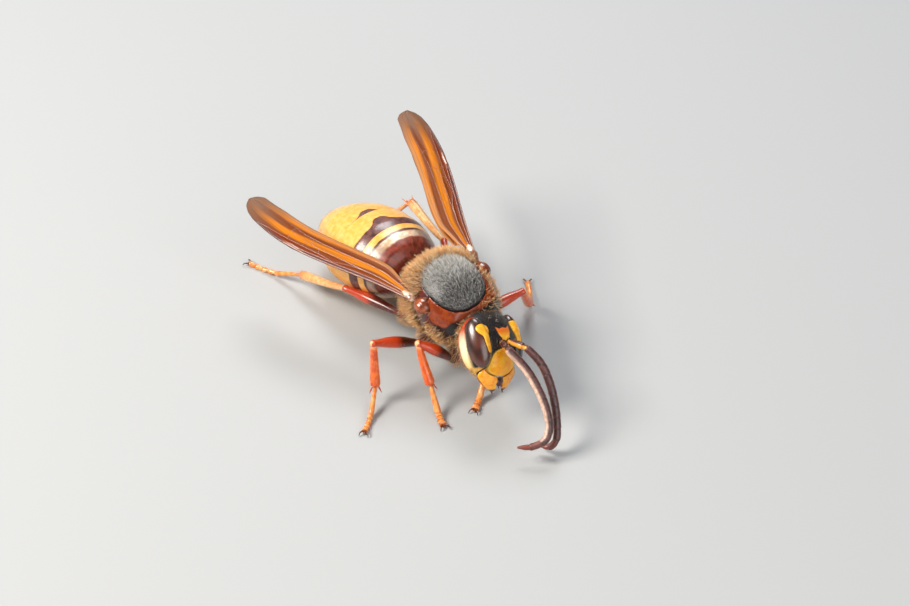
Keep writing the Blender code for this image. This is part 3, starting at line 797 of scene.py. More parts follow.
def patch_depth(flat):
    """How deep inside either eye's patch each place is, left and up of the head's centre."""
    return outline_depth(np.abs(flat * (1, 0)) + flat * (0, 1), patch_outline)


def jaw_skin(side, grow=0.0):
    """A blade from its hinge to its tip, with teeth along the inner edge."""
    rings = []
    cos, sin = math.cos(JAW_TURN[side]), math.sin(JAW_TURN[side])
    for row, (x, y, z, half_width) in enumerate(smooth_rows(JAW_ROWS, 61)):
        share = row / 60
        width = half_width + grow
        depth = min(0.3, half_width) * (1 - 0.45 * share) + grow
        teeth = 0.1 * ramp(share, 0.45, 0.6) * math.cos(share * 42.0)
        ring = []
        for across, rise in oval(width, depth, depth * 0.6, 48, 0.85):
            if across < 0:
                across = across * (1 + teeth)
            outward = across * cos + rise * sin
            forward = rise * cos - across * sin
            ring.append(on_head(side * (x + outward), y + forward, z - JAW_TILT * across * (1 - share)))
        rings.append(ring)
    return ring_skin(np.array(rings))


# %% The skull, with room for the rest
clypeus_room = front_prism(grow_outline(clypeus_outline, gap), 1.0, 0.5)
skull_steps = [(CUT, clypeus_room)]
for side_name, side in SIDES:
    skull_steps += [(CUT, eye_ball(side, 0.02)), (CUT, jaw_skin(side, 0.05))]
skull = carve(ring_skin(head_rings()), skull_steps, HEAD_GRAIN, 3)
print("skull", len(skull.polygons), "faces")


def mark_face(data):
    """Stores where each place is on the head, and how deep it is inside each mark."""
    spot = head_places(points_of(data))
    front = np.where(spot[:, 1] > 0.2, 0.0, -9.0)
    flat = spot[:, [0, 2]]
    put_values(data, "spot", spot)
    put_values(data, "shield", outline_depth(flat, SHIELD) + front)
    put_values(data, "patch", patch_depth(flat) + front)
    put_values(data, "mouth", outline_depth(flat, clypeus_outline) + front)
    # How near each place is to a jaw, for the painted shade round the jaws.
    near_jaw = [BVHTree.FromPolygons(points.tolist(), faces) for points, faces in
                (jaw_skin(side) for side_name, side in SIDES)]
    put_values(data, "hinge", [min(tree.find_nearest(place)[3] for tree in near_jaw)
                               for place in points_of(data).tolist()])
    return spot


skull_spots = mark_face(skull)
torulus_gap = np.hypot(np.abs(skull_spots[:, 0]) - TORULUS[0], skull_spots[:, 2] - TORULUS[2])
is_front = skull_spots[:, 1] > 0.5
# A round pit with a raised rim holds each feeler, the shield stands proud, and a groove runs above it.
press = -0.12 * np.exp(-(torulus_gap / 0.2)**4) + 0.05 * np.exp(-((torulus_gap - 0.38) / 0.07)**2)
shield_depth = outline_depth(skull_spots[:, [0, 2]], SHIELD)
press += 0.08 * ramp(shield_depth, -0.1, 0.12)
brow_line = line_distance(skull_spots[:, [0, 2]], ((0.12, 1.9), (0.0, 2.35)))
press -= 0.06 * np.exp(-(brow_line / 0.08)**2)
temple = ramp(np.abs(skull_spots[:, 0]), 2.0, 2.5) * ramp(-skull_spots[:, 1], -0.5, 0.0)
move_out(skull, press * is_front + 0.1 * temple * ramp(-np.abs(skull_spots[:, 2]), -2.4, -1.0))


# %% Skull finish
face = Finish("skull_horn", coat_weight=0.35, coat_roughness=0.15, specular_ior_level=0.5)
spot = face.node("ShaderNodeAttribute", {"attribute_name": "spot"}, output=1)
split = face.node("ShaderNodeSeparateXYZ", None, {0: spot}).output.node
spot_x, spot_y, spot_z = [Socket(face, split.outputs[axis]) for axis in range(3)]
spot_x = abs(spot_x)
wobble = (face.noise(2.5, 2.0) - 0.5) * 0.16
mottle = face.mottle(3.0, 3.0)
temple = face.step(spot_x, 1.5, 1.95) * face.step(0.45 - spot_y, 0.0, 0.4)
cheek = face.step(-1.15 - spot_z + wobble, 0.0, 0.12) * face.step(spot_x, 1.6, 1.75)
# The temple is yellow, with a painted highlight of near-white cream over its middle, and red-brown on top
# and behind.
temple_tone = face.over(rgb(250, 206, 120), (face.step(spot_z, -1.4, 0.2), rgb(255, 232, 190)),
                        (face.step(spot_z + wobble, 0.6, 2.0), rgb(176, 62, 20)),
                        (face.step(0.0 - spot_y, 0.35, 0.8), rgb(176, 74, 26)))
patch_yellow = (rgb(240, 158, 20), rgb(255, 196, 62))
patch = face.step(face.value("patch") + wobble * 0.2, -0.02, 0.04)
shield = face.step(face.value("shield") + wobble * 0.3, -0.02, 0.05)
shield_tone = face.mix(face.step(spot_z, 0.95, 1.55), rgb(255, 186, 44), rgb(232, 112, 12))
mouth = face.step(face.value("mouth") + 0.22, -0.03, 0.03)
brow_tone = face.mix(mottle, rgb(7, 6, 8), rgb(22, 17, 20))
# The last layer is painted shade: the skull turns near-black within about 0.15 mm of each jaw.
tone = face.over(brow_tone, (temple, temple_tone),
                 (cheek, face.mix(mottle, rgb(206, 140, 40), rgb(232, 184, 92))),
                 (patch, face.mix(mottle, *patch_yellow)), (shield, shield_tone),
                 (mouth, rgb(14, 8, 8)), (face.step(face.value("hinge"), 0.2, 0.12), rgb(16, 8, 6)))
pitted = face.pits(8.0, 0.06)
face.paint(base_color=tone, roughness=0.36 - temple * 0.1 - patch * 0.04,
           normal=face.bumps(pitted + face.noise(14.0) * 0.5, 0.014))
finished("head", skull, face.material, ["head"], "head_shell")


# %% The patch in the notch of each eye
patch_finish = Finish("eye_patch_horn", coat_weight=0.35, coat_roughness=0.15, specular_ior_level=0.5)
patch_mottle = patch_finish.mottle(3.0, 3.0)
patch_finish.paint(base_color=patch_finish.mix(patch_mottle, *patch_yellow),
                   roughness=0.3 + patch_mottle * 0.08,
                   normal=patch_finish.bumps(patch_finish.pits(8.0, 0.06), 0.012))
for side_name, side in SIDES:
    inlay = front_prism(grow_outline(patch_outline, -0.02), side, 0.2)
    fill = carve(eye_ball(side, 0.02), [(KEEP, inlay)], 0.035, 2)
    finished("eye_patch_" + side_name, fill, patch_finish.material, slot="head_shell")


# %% [markdown]
# ## Compound eyes
#
# A hornet's eye is thousands of lenses, each about 0.03 mm across. Modelling them would cost far more
# faces than they are worth, so the surface carries a fine pattern of nearly even cells as bump, and
# its colour drifts between black-brown and red-brown. The gloss sits in a clear coat, smooth above
# the fine pattern. The three ocelli on the crown are plain glassy beads.

# %% Eyes and ocelli
eye_finish = Finish("eye_lens", coat_weight=1.0, coat_roughness=0.25, specular_ior_level=0.5)
lenses = eye_finish.cells(26.0, 0.25)
clouds = eye_finish.mottle(0.8, 2.0, 0.3)
eye_tone = eye_finish.mix(clouds, rgb(26, 9, 5), rgb(86, 32, 12))
eye_finish.paint(base_color=eye_tone, roughness=0.22 + lenses * 0.2,
                 normal=eye_finish.bumps(1 - lenses, 0.004, 0.6))
for side_name, side in SIDES:
    eye_mesh = carve(eye_ball(side), [(CUT, front_prism(patch_outline, side, 0.2))], 0.04, 3)
    finished("eye_" + side_name, eye_mesh, eye_finish.material, ["eye_" + side_name], "eye")

ocellus_finish = Finish("ocellus_glass", base_color=rgb(34, 16, 12), coat_weight=1.0,
                        coat_roughness=0.12)
ocellus_finish.paint(roughness=0.2 + ocellus_finish.noise(6.0) * 0.1)
ocelli = []
for x, z in ((0.02, 2.28), (0.42, 2.62), (-0.4, 2.62)):
    centre = on_head(x, face_reach(x, z) + 0.02, z)
    ocelli.append(ball_rings(centre, (HEAD_LEFT, HEAD_UP, HEAD_FRONT), (0.19, 0.19, 0.15), 20, 12))


def joined(bodies):
    """Several closed skins as one."""
    points, faces, base = [], [], 0
    for body_points, body_faces in bodies:
        points.append(body_points)
        faces += [tuple(corner + base for corner in face) for face in body_faces]
        base += len(body_points)
    return np.vstack(points), faces


def body_of(data):
    """The places and faces of a mesh, to be joined with others."""
    return points_of(data), [tuple(face.vertices) for face in data.polygons]


def skin_mesh(name, body):
    """A closed skin as a mesh that faces outwards."""
    data = plain_mesh(name, *body)
    face_outwards(data)
    return data


finished("ocelli", skin_mesh("ocelli", joined([ring_skin(rings) for rings in ocelli])),
         ocellus_finish.material, slot="eye")


# %% [markdown]
# ## Clypeus and jaws
#
# The clypeus is the amber plate over the mouth: finely pitted, with a paler rolled rim. The jaws are
# broad blades with dark cutting teeth. Both are cut from rounded skins like the rest of the head, and
# each stores a depth or a reach, so that the jaws' finish can darken towards the teeth and the
# clypeus's finish can turn paler at its rim.

# %% Clypeus
clypeus_block = front_prism(grow_outline(clypeus_outline, -gap * 0.5), 1.0, 0.5)
clypeus = carve(ring_skin(head_rings(0.1)), [(KEEP, clypeus_block)], 0.04, 3)
clypeus_spots = head_places(points_of(clypeus))
clypeus_rim = outline_depth(clypeus_spots[:, [0, 2]], clypeus_outline)
put_values(clypeus, "rim", clypeus_rim)
dome = 0.14 * ramp(clypeus_rim, 0.05, 0.8) - 0.03 * np.exp(-((clypeus_rim - 0.2) / 0.06)**2)
move_out(clypeus, dome * (clypeus_spots[:, 1] > 0.9))
shell = Finish("clypeus_horn", coat_weight=0.25, coat_roughness=0.2, specular_ior_level=0.4)
rim_edge = shell.value("rim") + (shell.noise(3.0) - 0.5) * 0.08
pitted = shell.pits(6.5, 0.1, 0.35)
mottle = shell.mottle(1.6, 4.0)
amber = shell.over(rgb(250, 158, 0), (mottle, rgb(255, 190, 10)), ((1 - pitted) * 0.45, rgb(196, 104, 4)))
rim_tone = shell.mix(shell.step(rim_edge, 0.03, 0.13), rgb(240, 190, 74), amber)
shell.paint(base_color=rim_tone, roughness=0.36 + mottle * 0.1, normal=shell.bumps(pitted, 0.02))
finished("clypeus", clypeus, shell.material, ["clypeus"], "yellow_shell")


# %% Jaws
blade = Finish("jaw_horn", coat_weight=0.6, coat_roughness=0.12, specular_ior_level=0.55)
reach = blade.value("reach")
edge = blade.value("edge")
mottle = blade.mottle(1.8, 4.0)
jaw_tone = blade.over(rgb(244, 148, 6), (mottle, rgb(255, 184, 30)),
                      (blade.step(edge, 0.93, 1.02), rgb(150, 66, 12)),
                      (blade.step(reach, 0.86, 0.96), rgb(44, 16, 8)))
pitted = blade.pits(5.0)
blade.paint(base_color=jaw_tone, roughness=0.26 + mottle * 0.12, normal=blade.bumps(pitted, 0.008))


def jaw_place(spots, side):
    """The share of a jaw's length, and how near its edges each place is."""
    rows = smooth_rows(JAW_ROWS, 60)[::-1]
    x, y, half_width = [np.interp(spots[:, 2], rows[:, 2], rows[:, column]) for column in (0, 1, 3)]
    across = ((side * spots[:, 0] - x) * math.cos(JAW_TURN[side])
              - (spots[:, 1] - y) * math.sin(JAW_TURN[side])) / half_width
    top, tip = JAW_ROWS[0][2], JAW_ROWS[-1][2]
    return (top - spots[:, 2]) / (top - tip), np.abs(across)


jaw_gap = front_prism(grow_outline(clypeus_outline, 0.13), 1.0, 0.0)
for side_name, side in SIDES:
    jaw = carve(jaw_skin(side), [(CUT, jaw_gap)], 0.035, 2)
    jaw_reach, jaw_edge = jaw_place(head_places(points_of(jaw)), side)
    put_values(jaw, "reach", jaw_reach)
    put_values(jaw, "edge", jaw_edge)
    finished("mandible_" + side_name, jaw, blade.material, ["mandible_" + side_name], "yellow_shell")

mouth_route = [on_head(0, 0.5, -1.9), on_head(0, 0.7, -2.25), on_head(0, 0.8, -2.6), on_head(0, 0.78, -2.9)]
mouth = carve(ring_skin(sweep(mouth_route, (0.6, 0.55, 0.4, 0.2), 32, 0.6, tuple(HEAD_FRONT))),
              [(CUT, jaw_gap)], 0.045, 3)
finished("mouthparts", mouth, dark_red_horn, ["mouthparts"], "red_shell")


# %% [markdown]
# ## Joints in a row
#
# A feeler's eleven joints, a foot's five and a palp's four are the same idea: one small barrel
# repeated along a path. This is what Geometry Nodes are for. The tree takes the path as a chain of
# edges, puts a point at the middle of each joint, and stands one barrel there, turned along the path.
# Each barrel remembers its share of the way, which its finish uses for colour.

# %% The tree that threads barrels on a path
class Nodes(Tree):
    """A Geometry Nodes tree with named inputs."""

    def __init__(self, name, inputs):
        group = bpy.data.node_groups.new(name, "GeometryNodeTree")
        super().__init__(group)
        self.group = group
        group.interface.new_socket("Geometry", in_out="OUTPUT", socket_type="NodeSocketGeometry")
        for label, kind in {"Geometry": "Geometry", **inputs}.items():
            group.interface.new_socket(label, in_out="INPUT", socket_type="NodeSocket" + kind)
        self.entry = group.nodes.new("NodeGroupInput")

    def given(self, label):
        return Socket(self, self.entry.outputs[label])

    def stored(self, name, kind="FLOAT"):
        """A value stored on the mesh."""
        return self.node("GeometryNodeInputNamedAttribute", {"data_type": kind}, {"Name": name})

    def close(self, geometry, finish):
        """Ends the tree: real faces, with their finish."""
        painted = self.node("GeometryNodeSetMaterial", None, {"Geometry": geometry, "Material": finish})
        exit_node = self.group.nodes.new("NodeGroupOutput")
        self.feed(exit_node.inputs["Geometry"], painted)
        return self.group


def grown(tree_group, base, values):
    """The plain mesh that a tree makes of a base mesh, with its inputs set by their identifiers."""
    holder = show(bpy.data.objects.new("holder", base))
    modifier = holder.modifiers.new("grow", "NODES")
    modifier.node_group = tree_group
    for item in tree_group.interface.items_tree:
        if item.item_type == "SOCKET" and item.in_out == "INPUT" and item.name in values:
            modifier[item.identifier] = values[item.name]
    result = evaluated(holder)
    holder.modifiers.clear()
    bpy.data.objects.remove(holder)
    return result


def build_thread_tree():
    tree = Nodes("thread_of_joints", {"Joints": "Int", "Width": "Float", "Overlap": "Float",
                                      "Joint": "Object", "Finish": "Material"})
    path = tree.node("GeometryNodeMeshToCurve", None, {"Mesh": tree.given("Geometry")})
    index = tree.node("GeometryNodeInputIndex")
    share = (index + 0.5) / tree.given("Joints")
    at = tree.node("GeometryNodeSampleCurve", {"mode": "FACTOR", "data_type": "FLOAT"},
                   {"Curves": path, "Factor": share, "Value": tree.stored("wide")})
    sampler = at.output.node
    length = tree.node("GeometryNodeCurveLength", None, {"Curve": path})
    points = tree.node("GeometryNodePoints", None, {"Count": tree.given("Joints"),
                                                    "Position": Socket(tree, sampler.outputs["Position"])})
    turn = tree.node("FunctionNodeAxesToRotation", {"primary_axis": "Z", "secondary_axis": "X"},
                     {0: Socket(tree, sampler.outputs["Tangent"]),
                      1: Socket(tree, sampler.outputs["Normal"])})
    width = at * tree.given("Width")
    size = tree.node("ShaderNodeCombineXYZ", None, {
        0: width, 1: width, 2: length / tree.given("Joints") * tree.given("Overlap")})
    joint = tree.node("GeometryNodeObjectInfo", None, {"Object": tree.given("Joint")}, "Geometry")
    standing = tree.node("GeometryNodeInstanceOnPoints", None,
                         {"Points": points, "Instance": joint, "Rotation": turn, "Scale": size})
    marked = tree.node("GeometryNodeStoreNamedAttribute",
                       {"data_type": "FLOAT", "domain": "INSTANCE"},
                       {"Geometry": standing, "Name": "along", "Value": share})
    real = tree.node("GeometryNodeRealizeInstances", None, {"Geometry": marked})
    return tree.close(real, tree.given("Finish"))


thread_tree = build_thread_tree()


def path_mesh(route, widths, count=120):
    """A chain of edges along the smooth curve through the route, with a width at each point."""
    points = smooth_rows(route, count)
    data = bpy.data.meshes.new("path")
    data.from_pydata(points.tolist(), [(index, index + 1) for index in range(count - 1)], [])
    rows = np.atleast_2d(np.asarray(widths, float)).T
    put_values(data, "wide", smooth_rows(rows, count)[:, 0] if len(rows) > 1 else np.full(count, 1.0))
    return data


def model(name, rings):
    """A small shape for a tree to repeat."""
    thing = bpy.data.objects.new(name, skin_mesh(name, ring_skin(np.array(rings))))
    thing.data.shade_smooth()
    return thing


def barrel(profile, columns=18):
    """Rings of a round joint along z: each row of the profile is a height and a radius."""
    angle = np.linspace(0, 2 * math.pi, columns, endpoint=False)
    circle = np.stack([np.cos(angle), np.sin(angle)], 1)
    return [np.column_stack([circle * radius, np.full(columns, height)]) for height, radius in profile]


# %% Feelers
FLAGELLUM_ROUTE = {
    "left": ((0.95, -9.0, 7.05), (1.45, -10.25, 6.0), (1.4, -11.5, 4.75), (1.1, -12.55, 3.5),
             (0.6, -13.5, 2.25), (0.15, -14.0, 1.4), (-0.35, -13.85, 0.8), (-0.75, -13.1, 0.6)),
    "right": ((-0.65, -8.65, 7.45), (-0.05, -10.3, 6.2), (0.1, -11.9, 4.75), (-0.05, -13.05, 3.6),
              (-0.4, -13.75, 2.6), (-1.0, -14.0, 1.95), (-1.95, -13.65, 1.55), (-2.85, -13.05, 1.5)),
}
# Each feeler's pale side faces this way: partly the pale ridges of a male's feelers, and partly a
# painted highlight, which on the near feeler faces the key light.
FEELER_RIDGES_AND_HIGHLIGHT = {"left": unit((-0.38, 0.84, -0.38)), "right": unit((-0.85, 0.35, 0.1))}
flagellum_joint = model("flagellum_joint", barrel((
    (-0.5, 0.3), (-0.49, 0.58), (-0.46, 0.8), (-0.41, 0.93), (-0.32, 0.98), (-0.16, 0.99), (0.0, 1.0),
    (0.16, 1.01), (0.32, 1.02), (0.41, 0.97), (0.46, 0.84), (0.49, 0.6), (0.5, 0.3)), 24))


def bend_along(data, line, reach):
    """Rounds the far end of a mesh that stands along z and bends the mesh onto a curve.

    It gives each point's way out from the curve.
    """
    points = points_of(data)
    points[:, :2] *= np.sqrt(1 - 0.78 * ramp(points[:, 2], reach[-1] - 0.9, reach[-1]) ** 2)[:, None]
    along = np.clip(points[:, 2], 0.0, reach[-1])
    centre = np.column_stack([np.interp(along, reach, column) for column in line.T])
    ahead = unit_rows(np.column_stack([np.interp(along, reach, np.gradient(column)) for column in line.T]))
    side = unit_rows(np.cross(ahead, (0.5, 0.8, -0.6)))
    outward = side * points[:, :1] + np.cross(ahead, side) * points[:, 1:2]
    set_points(data, centre + outward + ahead * (points[:, 2] - along)[:, None])
    return outward


ridged = Finish("feeler_horn", coat_weight=0.3, coat_roughness=0.3, specular_ior_level=0.7,
                sheen_weight=0.5, sheen_roughness=0.35, sheen_tint=(1.0, 0.78, 0.66))
along = ridged.value("along")
mottle = ridged.mottle(3.0, 3.0, 0.3)
# The cream side of each feeler is partly its pale ridges and partly a painted highlight.
under = ridged.step(ridged.value("under"), 0.2, 0.8)
feeler_tone = ridged.over(rgb(50, 19, 18), (mottle, rgb(94, 44, 40)),
                          (under * (0.5 + mottle * 0.4), rgb(248, 208, 184)),
                          (ridged.step(along, 0.75, 1.0), rgb(122, 46, 30)))
ridged.paint(base_color=feeler_tone, roughness=0.44 + mottle * 0.1,
             normal=ridged.bumps(ridged.noise(30.0, 2.0), 0.01))
scape_finish = Finish("scape_horn", coat_weight=0.4, coat_roughness=0.15)
scape_side = scape_finish.step(scape_finish.value("facing"), -0.45, -0.1)
scape_tone = scape_finish.mix(scape_side, rgb(70, 22, 16), rgb(236, 160, 58))
scape_finish.paint(base_color=scape_tone, roughness=0.34 + scape_finish.noise(4.0) * 0.15)
for side_name, side in SIDES:
    line = smooth_rows(np.array(FLAGELLUM_ROUTE[side_name]) + SHIFT, 300)
    reach = np.append(0.0, np.cumsum(np.linalg.norm(np.diff(line, axis=0), axis=1)))
    base = path_mesh(np.outer((0.0, 0.5, 1.0), (0.0, 0.0, reach[-1])), (0.95, 1.02, 1.0, 0.92, 0.6))
    feeler = grown(thread_tree, base, {"Joints": 11, "Width": 0.35, "Overlap": 1.24,
                                       "Joint": flagellum_joint, "Finish": ridged.material})
    # How far each point faces the pale side: the ridges and the painted highlight.
    put_values(feeler, "under", bend_along(feeler, line, reach) @ FEELER_RIDGES_AND_HIGHLIGHT[side_name] / 0.33)
    finished("flagellum_" + side_name, feeler, ridged.material, ["flagellum_" + side_name],
             "feeler")
    socket = on_head(side * TORULUS[0], *TORULUS[1:])
    elbow = np.array(FLAGELLUM_ROUTE[side_name][0]) + SHIFT
    way = unit(elbow - socket)
    lift = unit(np.cross(way, (1.0, 0.0, 0.0)))
    length = np.linalg.norm(elbow - socket)
    profile = ((0.0, 0.17), (0.1, 0.2), (0.22, 0.17), (0.3, 0.13), (0.38, 0.2), (0.6, 0.25), (1.0, 0.28),
               (length * 0.6, 0.29), (length - 0.45, 0.27), (length - 0.36, 0.16), (length - 0.3, 0.2),
               (length - 0.1, 0.25), (length + 0.05, 0.24), (length + 0.1, 0.15))
    profile = smooth_rows(profile, 60)
    route = [socket + way * reach + lift * 0.08 * math.sin(math.pi * reach / length)
             for reach in profile[:, 0]]
    scape = skin_mesh("scape", ring_skin(sweep(route, profile[:, 1], 28)))
    middle = socket + np.outer((points_of(scape) - socket) @ way, way)
    put_values(scape, "facing", (points_of(scape) - middle) @ unit(HEAD_FRONT * 0.8 - HEAD_UP) / 0.28)
    finished("scape_" + side_name, scape, scape_finish.material, ["scape_" + side_name], "red_shell")
print("feelers made")


# %% [markdown]
# ## The abdomen
#
# The gaster is seven rings that slide into one another like a telescope. Each ring here ends in a
# raised lip that rolls under, and begins narrower, deep inside the ring before it. Above a line along
# each side the back plate laps over the belly plate, so the skin steps in by a hair's breadth there.
# The colours are bands, so every place stores how far along the abdomen it is, and how far round.

# %% Rings of the abdomen
LAP_ANGLE = 112.0  # how far round from the top the back plates reach, in degrees
LAP_STEP = 0.05  # how far the back plates stand above the belly plates


def lapped_ring(distance, scale, columns=144):
    """A ring whose upper part stands a little proud of the lower."""
    within = float(np.clip(distance, 0.0, SEGMENT_ENDS[-1]))
    ring = gaster_ring(within, scale, columns) + GASTER_AIM * (distance - within)
    proud = LAP_STEP * ramp(-np.abs(turn_of(ring)), -LAP_ANGLE - 1.5, -LAP_ANGLE + 1.5)
    outward = ring - (GASTER_START + GASTER_AIM * distance)
    outward = outward - np.outer(outward @ GASTER_AIM, GASTER_AIM)
    return ring + unit_rows(outward) * (proud - LAP_STEP / 2)[:, None]


def turn_of(points):
    """How far round from the top, in degrees: above 0 on the left side and below 0 on the right."""
    away = points - GASTER_START
    return np.degrees(np.arctan2(away[:, 0], away @ GASTER_UP))


def segment_skin(index):
    """One ring of the abdomen, from the part that hides inside the one before to its rolled lip."""
    start, end = SEGMENT_ENDS[index - 1], SEGMENT_ENDS[index]
    if index == 1:
        rows = [(0.05, 1.0), (0.3, 1.0), (0.6, 1.0), (0.9, 1.0), (1.2, 1.0), (1.6, 1.0), (2.1, 1.0),
                (2.6, 1.0), (3.0, 1.0), (3.3, 1.003)]
    elif index == 7:
        rows = [(start - 0.25, 0.86), (start, 0.93), (start + 0.2, 0.96), (start + 0.35, 0.94),
                (start + 0.5, 0.9), (start + 0.62, 0.8), (start + 0.7, 0.6)]
    else:
        rows = [(start - 0.3, 0.93), (start + 0.02, 0.957), (start + 0.25, 0.972), (start + 0.6, 0.99)]
        rows += [(distance, 1.0) for distance in np.linspace(start + 0.9, end - 0.35, 5)]
        rows += [(end - 0.2, 1.003)]
    if index < 7:
        rows += [(end - 0.1, 1.008), (end - 0.03, 1.006), (end + 0.01, 0.995), (end - 0.02, 0.98),
                 (end - 0.15, 0.965)]
    fine = smooth_rows(rows, 4 * len(rows))
    return ring_skin(np.array([lapped_ring(distance, scale) for distance, scale in fine]))


# From the waist back: red, a pale saddle, plum, yellow, then a plum band with a hump on the top. The
# pale saddle is partly a pale-brown zone and partly a painted highlight: bright on top, plum down the
# sides. The third ring has a short dark streak on top, and the three after it a thin dark line each.
banded = Finish("abdomen_horn", coat_weight=0.5, coat_roughness=0.18, specular_ior_level=0.5)
distance = banded.value("distance")
around = banded.value("around") * (1 / 90.0)
top_hump = 1 / (1 + (around * 7.5)**2 * (around * 7.5)**2)  # 1 on the top, and 0 down the sides
wobble = (banded.noise(1.3, 3.0) - 0.5) * 0.22
place = distance + wobble
mottle = banded.mottle(2.2, 4.0, 0.3)
yellow = banded.mix(mottle, rgb(240, 166, 66), rgb(250, 188, 98))
plum = banded.mix(mottle, rgb(64, 28, 28), rgb(116, 66, 58))
red = banded.mix(mottle, rgb(92, 20, 10), rgb(146, 50, 24))
# This pale tone colours the belly, and on the first ring's saddle it is also a painted highlight.
pale_brown_and_highlight = banded.mix(mottle, rgb(214, 170, 130), rgb(250, 232, 206))
pale_saddle_and_highlight = banded.mix(banded.step(abs(around), 0.15, 0.5) * 0.65, pale_brown_and_highlight, plum)
band_end = 4.5 + top_hump * 0.85
past_band = banded.step(place - band_end, -0.06, 0.06)
streak_end = 6.66 + top_hump * 0.55 + 0.12 * (1 - banded.step(abs(around), 0.2, 0.6))
past_streak = banded.step(distance + wobble * 0.4 - streak_end, -0.05, 0.05)
tone = banded.over(red, (banded.step(place, 1.85, 2.1), pale_saddle_and_highlight),
                   (banded.step(place, 2.55, 2.7), plum), (banded.step(place, 2.85, 2.95), yellow),
                   (banded.step(distance, 3.5, 3.52), banded.mix(past_band, plum, yellow)),
                   (banded.step(distance, 6.6, 6.62), banded.mix(past_streak, plum, yellow)))
for start in SEGMENT_ENDS[3:6]:
    line = banded.step(distance, start + 0.005, start + 0.02)
    line = line * (1 - banded.step(distance + wobble * 0.3, start + 0.1, start + 0.2))
    tone = banded.mix(line * 0.75, tone, plum)
belly = banded.step(abs(around), LAP_ANGLE / 90.0, 1.4)
tone = banded.mix(belly * 0.5, tone, pale_brown_and_highlight)
pitted = banded.pits(6.0, 0.04, 0.22)
banded.paint(base_color=tone, roughness=0.33 + mottle * 0.1 + (1 - pitted) * 0.1,
             normal=banded.bumps(pitted + banded.noise(9.0) * 0.4, 0.008))
for index in range(1, 8):
    segment = skin_mesh("segment", segment_skin(index))
    points = points_of(segment)
    put_values(segment, "distance", (points - GASTER_START) @ GASTER_AIM)
    put_values(segment, "around", turn_of(points))
    finished(f"gaster_{index}", segment, banded.material, [f"gaster_{index}"],
             "red_shell" if index == 1 else "yellow_shell")
print("seven rings, with their lips")


# %% [markdown]
# ## Wings
#
# A hornet at rest folds each forewing once along its length, which makes it long and narrow, and the
# hindwing lies under it. A wing is a film a few hundredths of a millimetre thick, held open by hollow
# veins. Here the film is a thin closed plate that rises to each vein, and the veins are round cords
# made by Geometry Nodes from lines drawn on the wing. The film lets some of the light through.

# %% The wing's surface
WING_LENGTH = 18.2
FOREWING_ROWS = ((0.0, 0.8), (0.08, 1.4), (0.2, 2.35), (0.4, 2.7), (0.62, 2.8), (0.8, 2.75),
                 (0.9, 2.45), (0.95, 2.25), (0.98, 1.85), (0.99, 1.6), (0.996, 1.38), (1.0, 1.0))
HINDWING_ROWS = ((0.0, 0.7), (0.12, 1.3), (0.35, 1.75), (0.7, 1.7), (0.9, 1.4), (1.0, 0.6))
TIP_ROWS = ((0.0, 0.0), (0.9, 0.0), (0.95, 0.12), (0.98, 0.36), (0.99, 0.51), (0.996, 0.66), (1.0, 0.9))
WING_ROOT = {"left": (3.65, 1.1, 1.85), "right": (-3.62, 0.6, 1.7)}
WING_AIM = {"left": (6.2, 16.9, 1.9), "right": (-4.75, 17.55, 0.75)}
WING_TILT = math.radians(6.0)
WING_BOW = {"left": 0.75, "right": 1.25}
WING_CROWN = 0.12
FILM = 0.035  # how thick the film is
VEIN_LIFT = 0.05  # how far the film rises to each vein
VEIN_FOOT = 0.26  # how wide that rise is
PLEAT_HEIGHT = 0.012


class Wing:
    """A wing's surface: place(s, t) is s of the way along it and t of the way in from its front edge."""

    def __init__(self, side_name, side, hind):
        along = unit(WING_AIM[side_name])
        flat = unit(np.cross(along, (0.0, 0.0, 1.0))) * -side
        self.along = along
        self.across = turned(flat, along, side * WING_TILT)
        self.upward = np.cross(self.across, along) * side
        if self.upward[2] < 0:
            self.upward = -self.upward
        self.root = on_thorax(*WING_ROOT[side_name])
        self.bow = WING_BOW[side_name]
        self.rows = np.array(HINDWING_ROWS if hind else FOREWING_ROWS)
        self.length = WING_LENGTH * 0.7 if hind else WING_LENGTH
        self.inset = 0.75 if hind else 0.0
        if hind:
            self.root = self.root + along * 1.4 - self.upward * 0.42

    def width(self, s):
        place = np.interp(s, self.rows[:, 0], np.arange(len(self.rows)))
        return curve_at(self.rows[:, 1:], place)[:, 0]

    def place(self, s, t, lift=0.0):
        s, t, lift = np.broadcast_arrays(np.atleast_1d(s).astype(float), t, lift)
        bow = self.bow * np.sin(math.pi * s**1.6) * self.length / WING_LENGTH
        tuck = np.interp(s, *np.transpose(TIP_ROWS)) * self.rows[2, 1] / FOREWING_ROWS[2][1]
        inward = self.inset - bow + tuck + (self.width(s) - tuck) * t
        rise = WING_CROWN * np.sin(math.pi * t) + lift
        return (self.root + np.outer(self.length * s, self.along) + np.outer(inward, self.across)
                + np.outer(rise, self.upward))


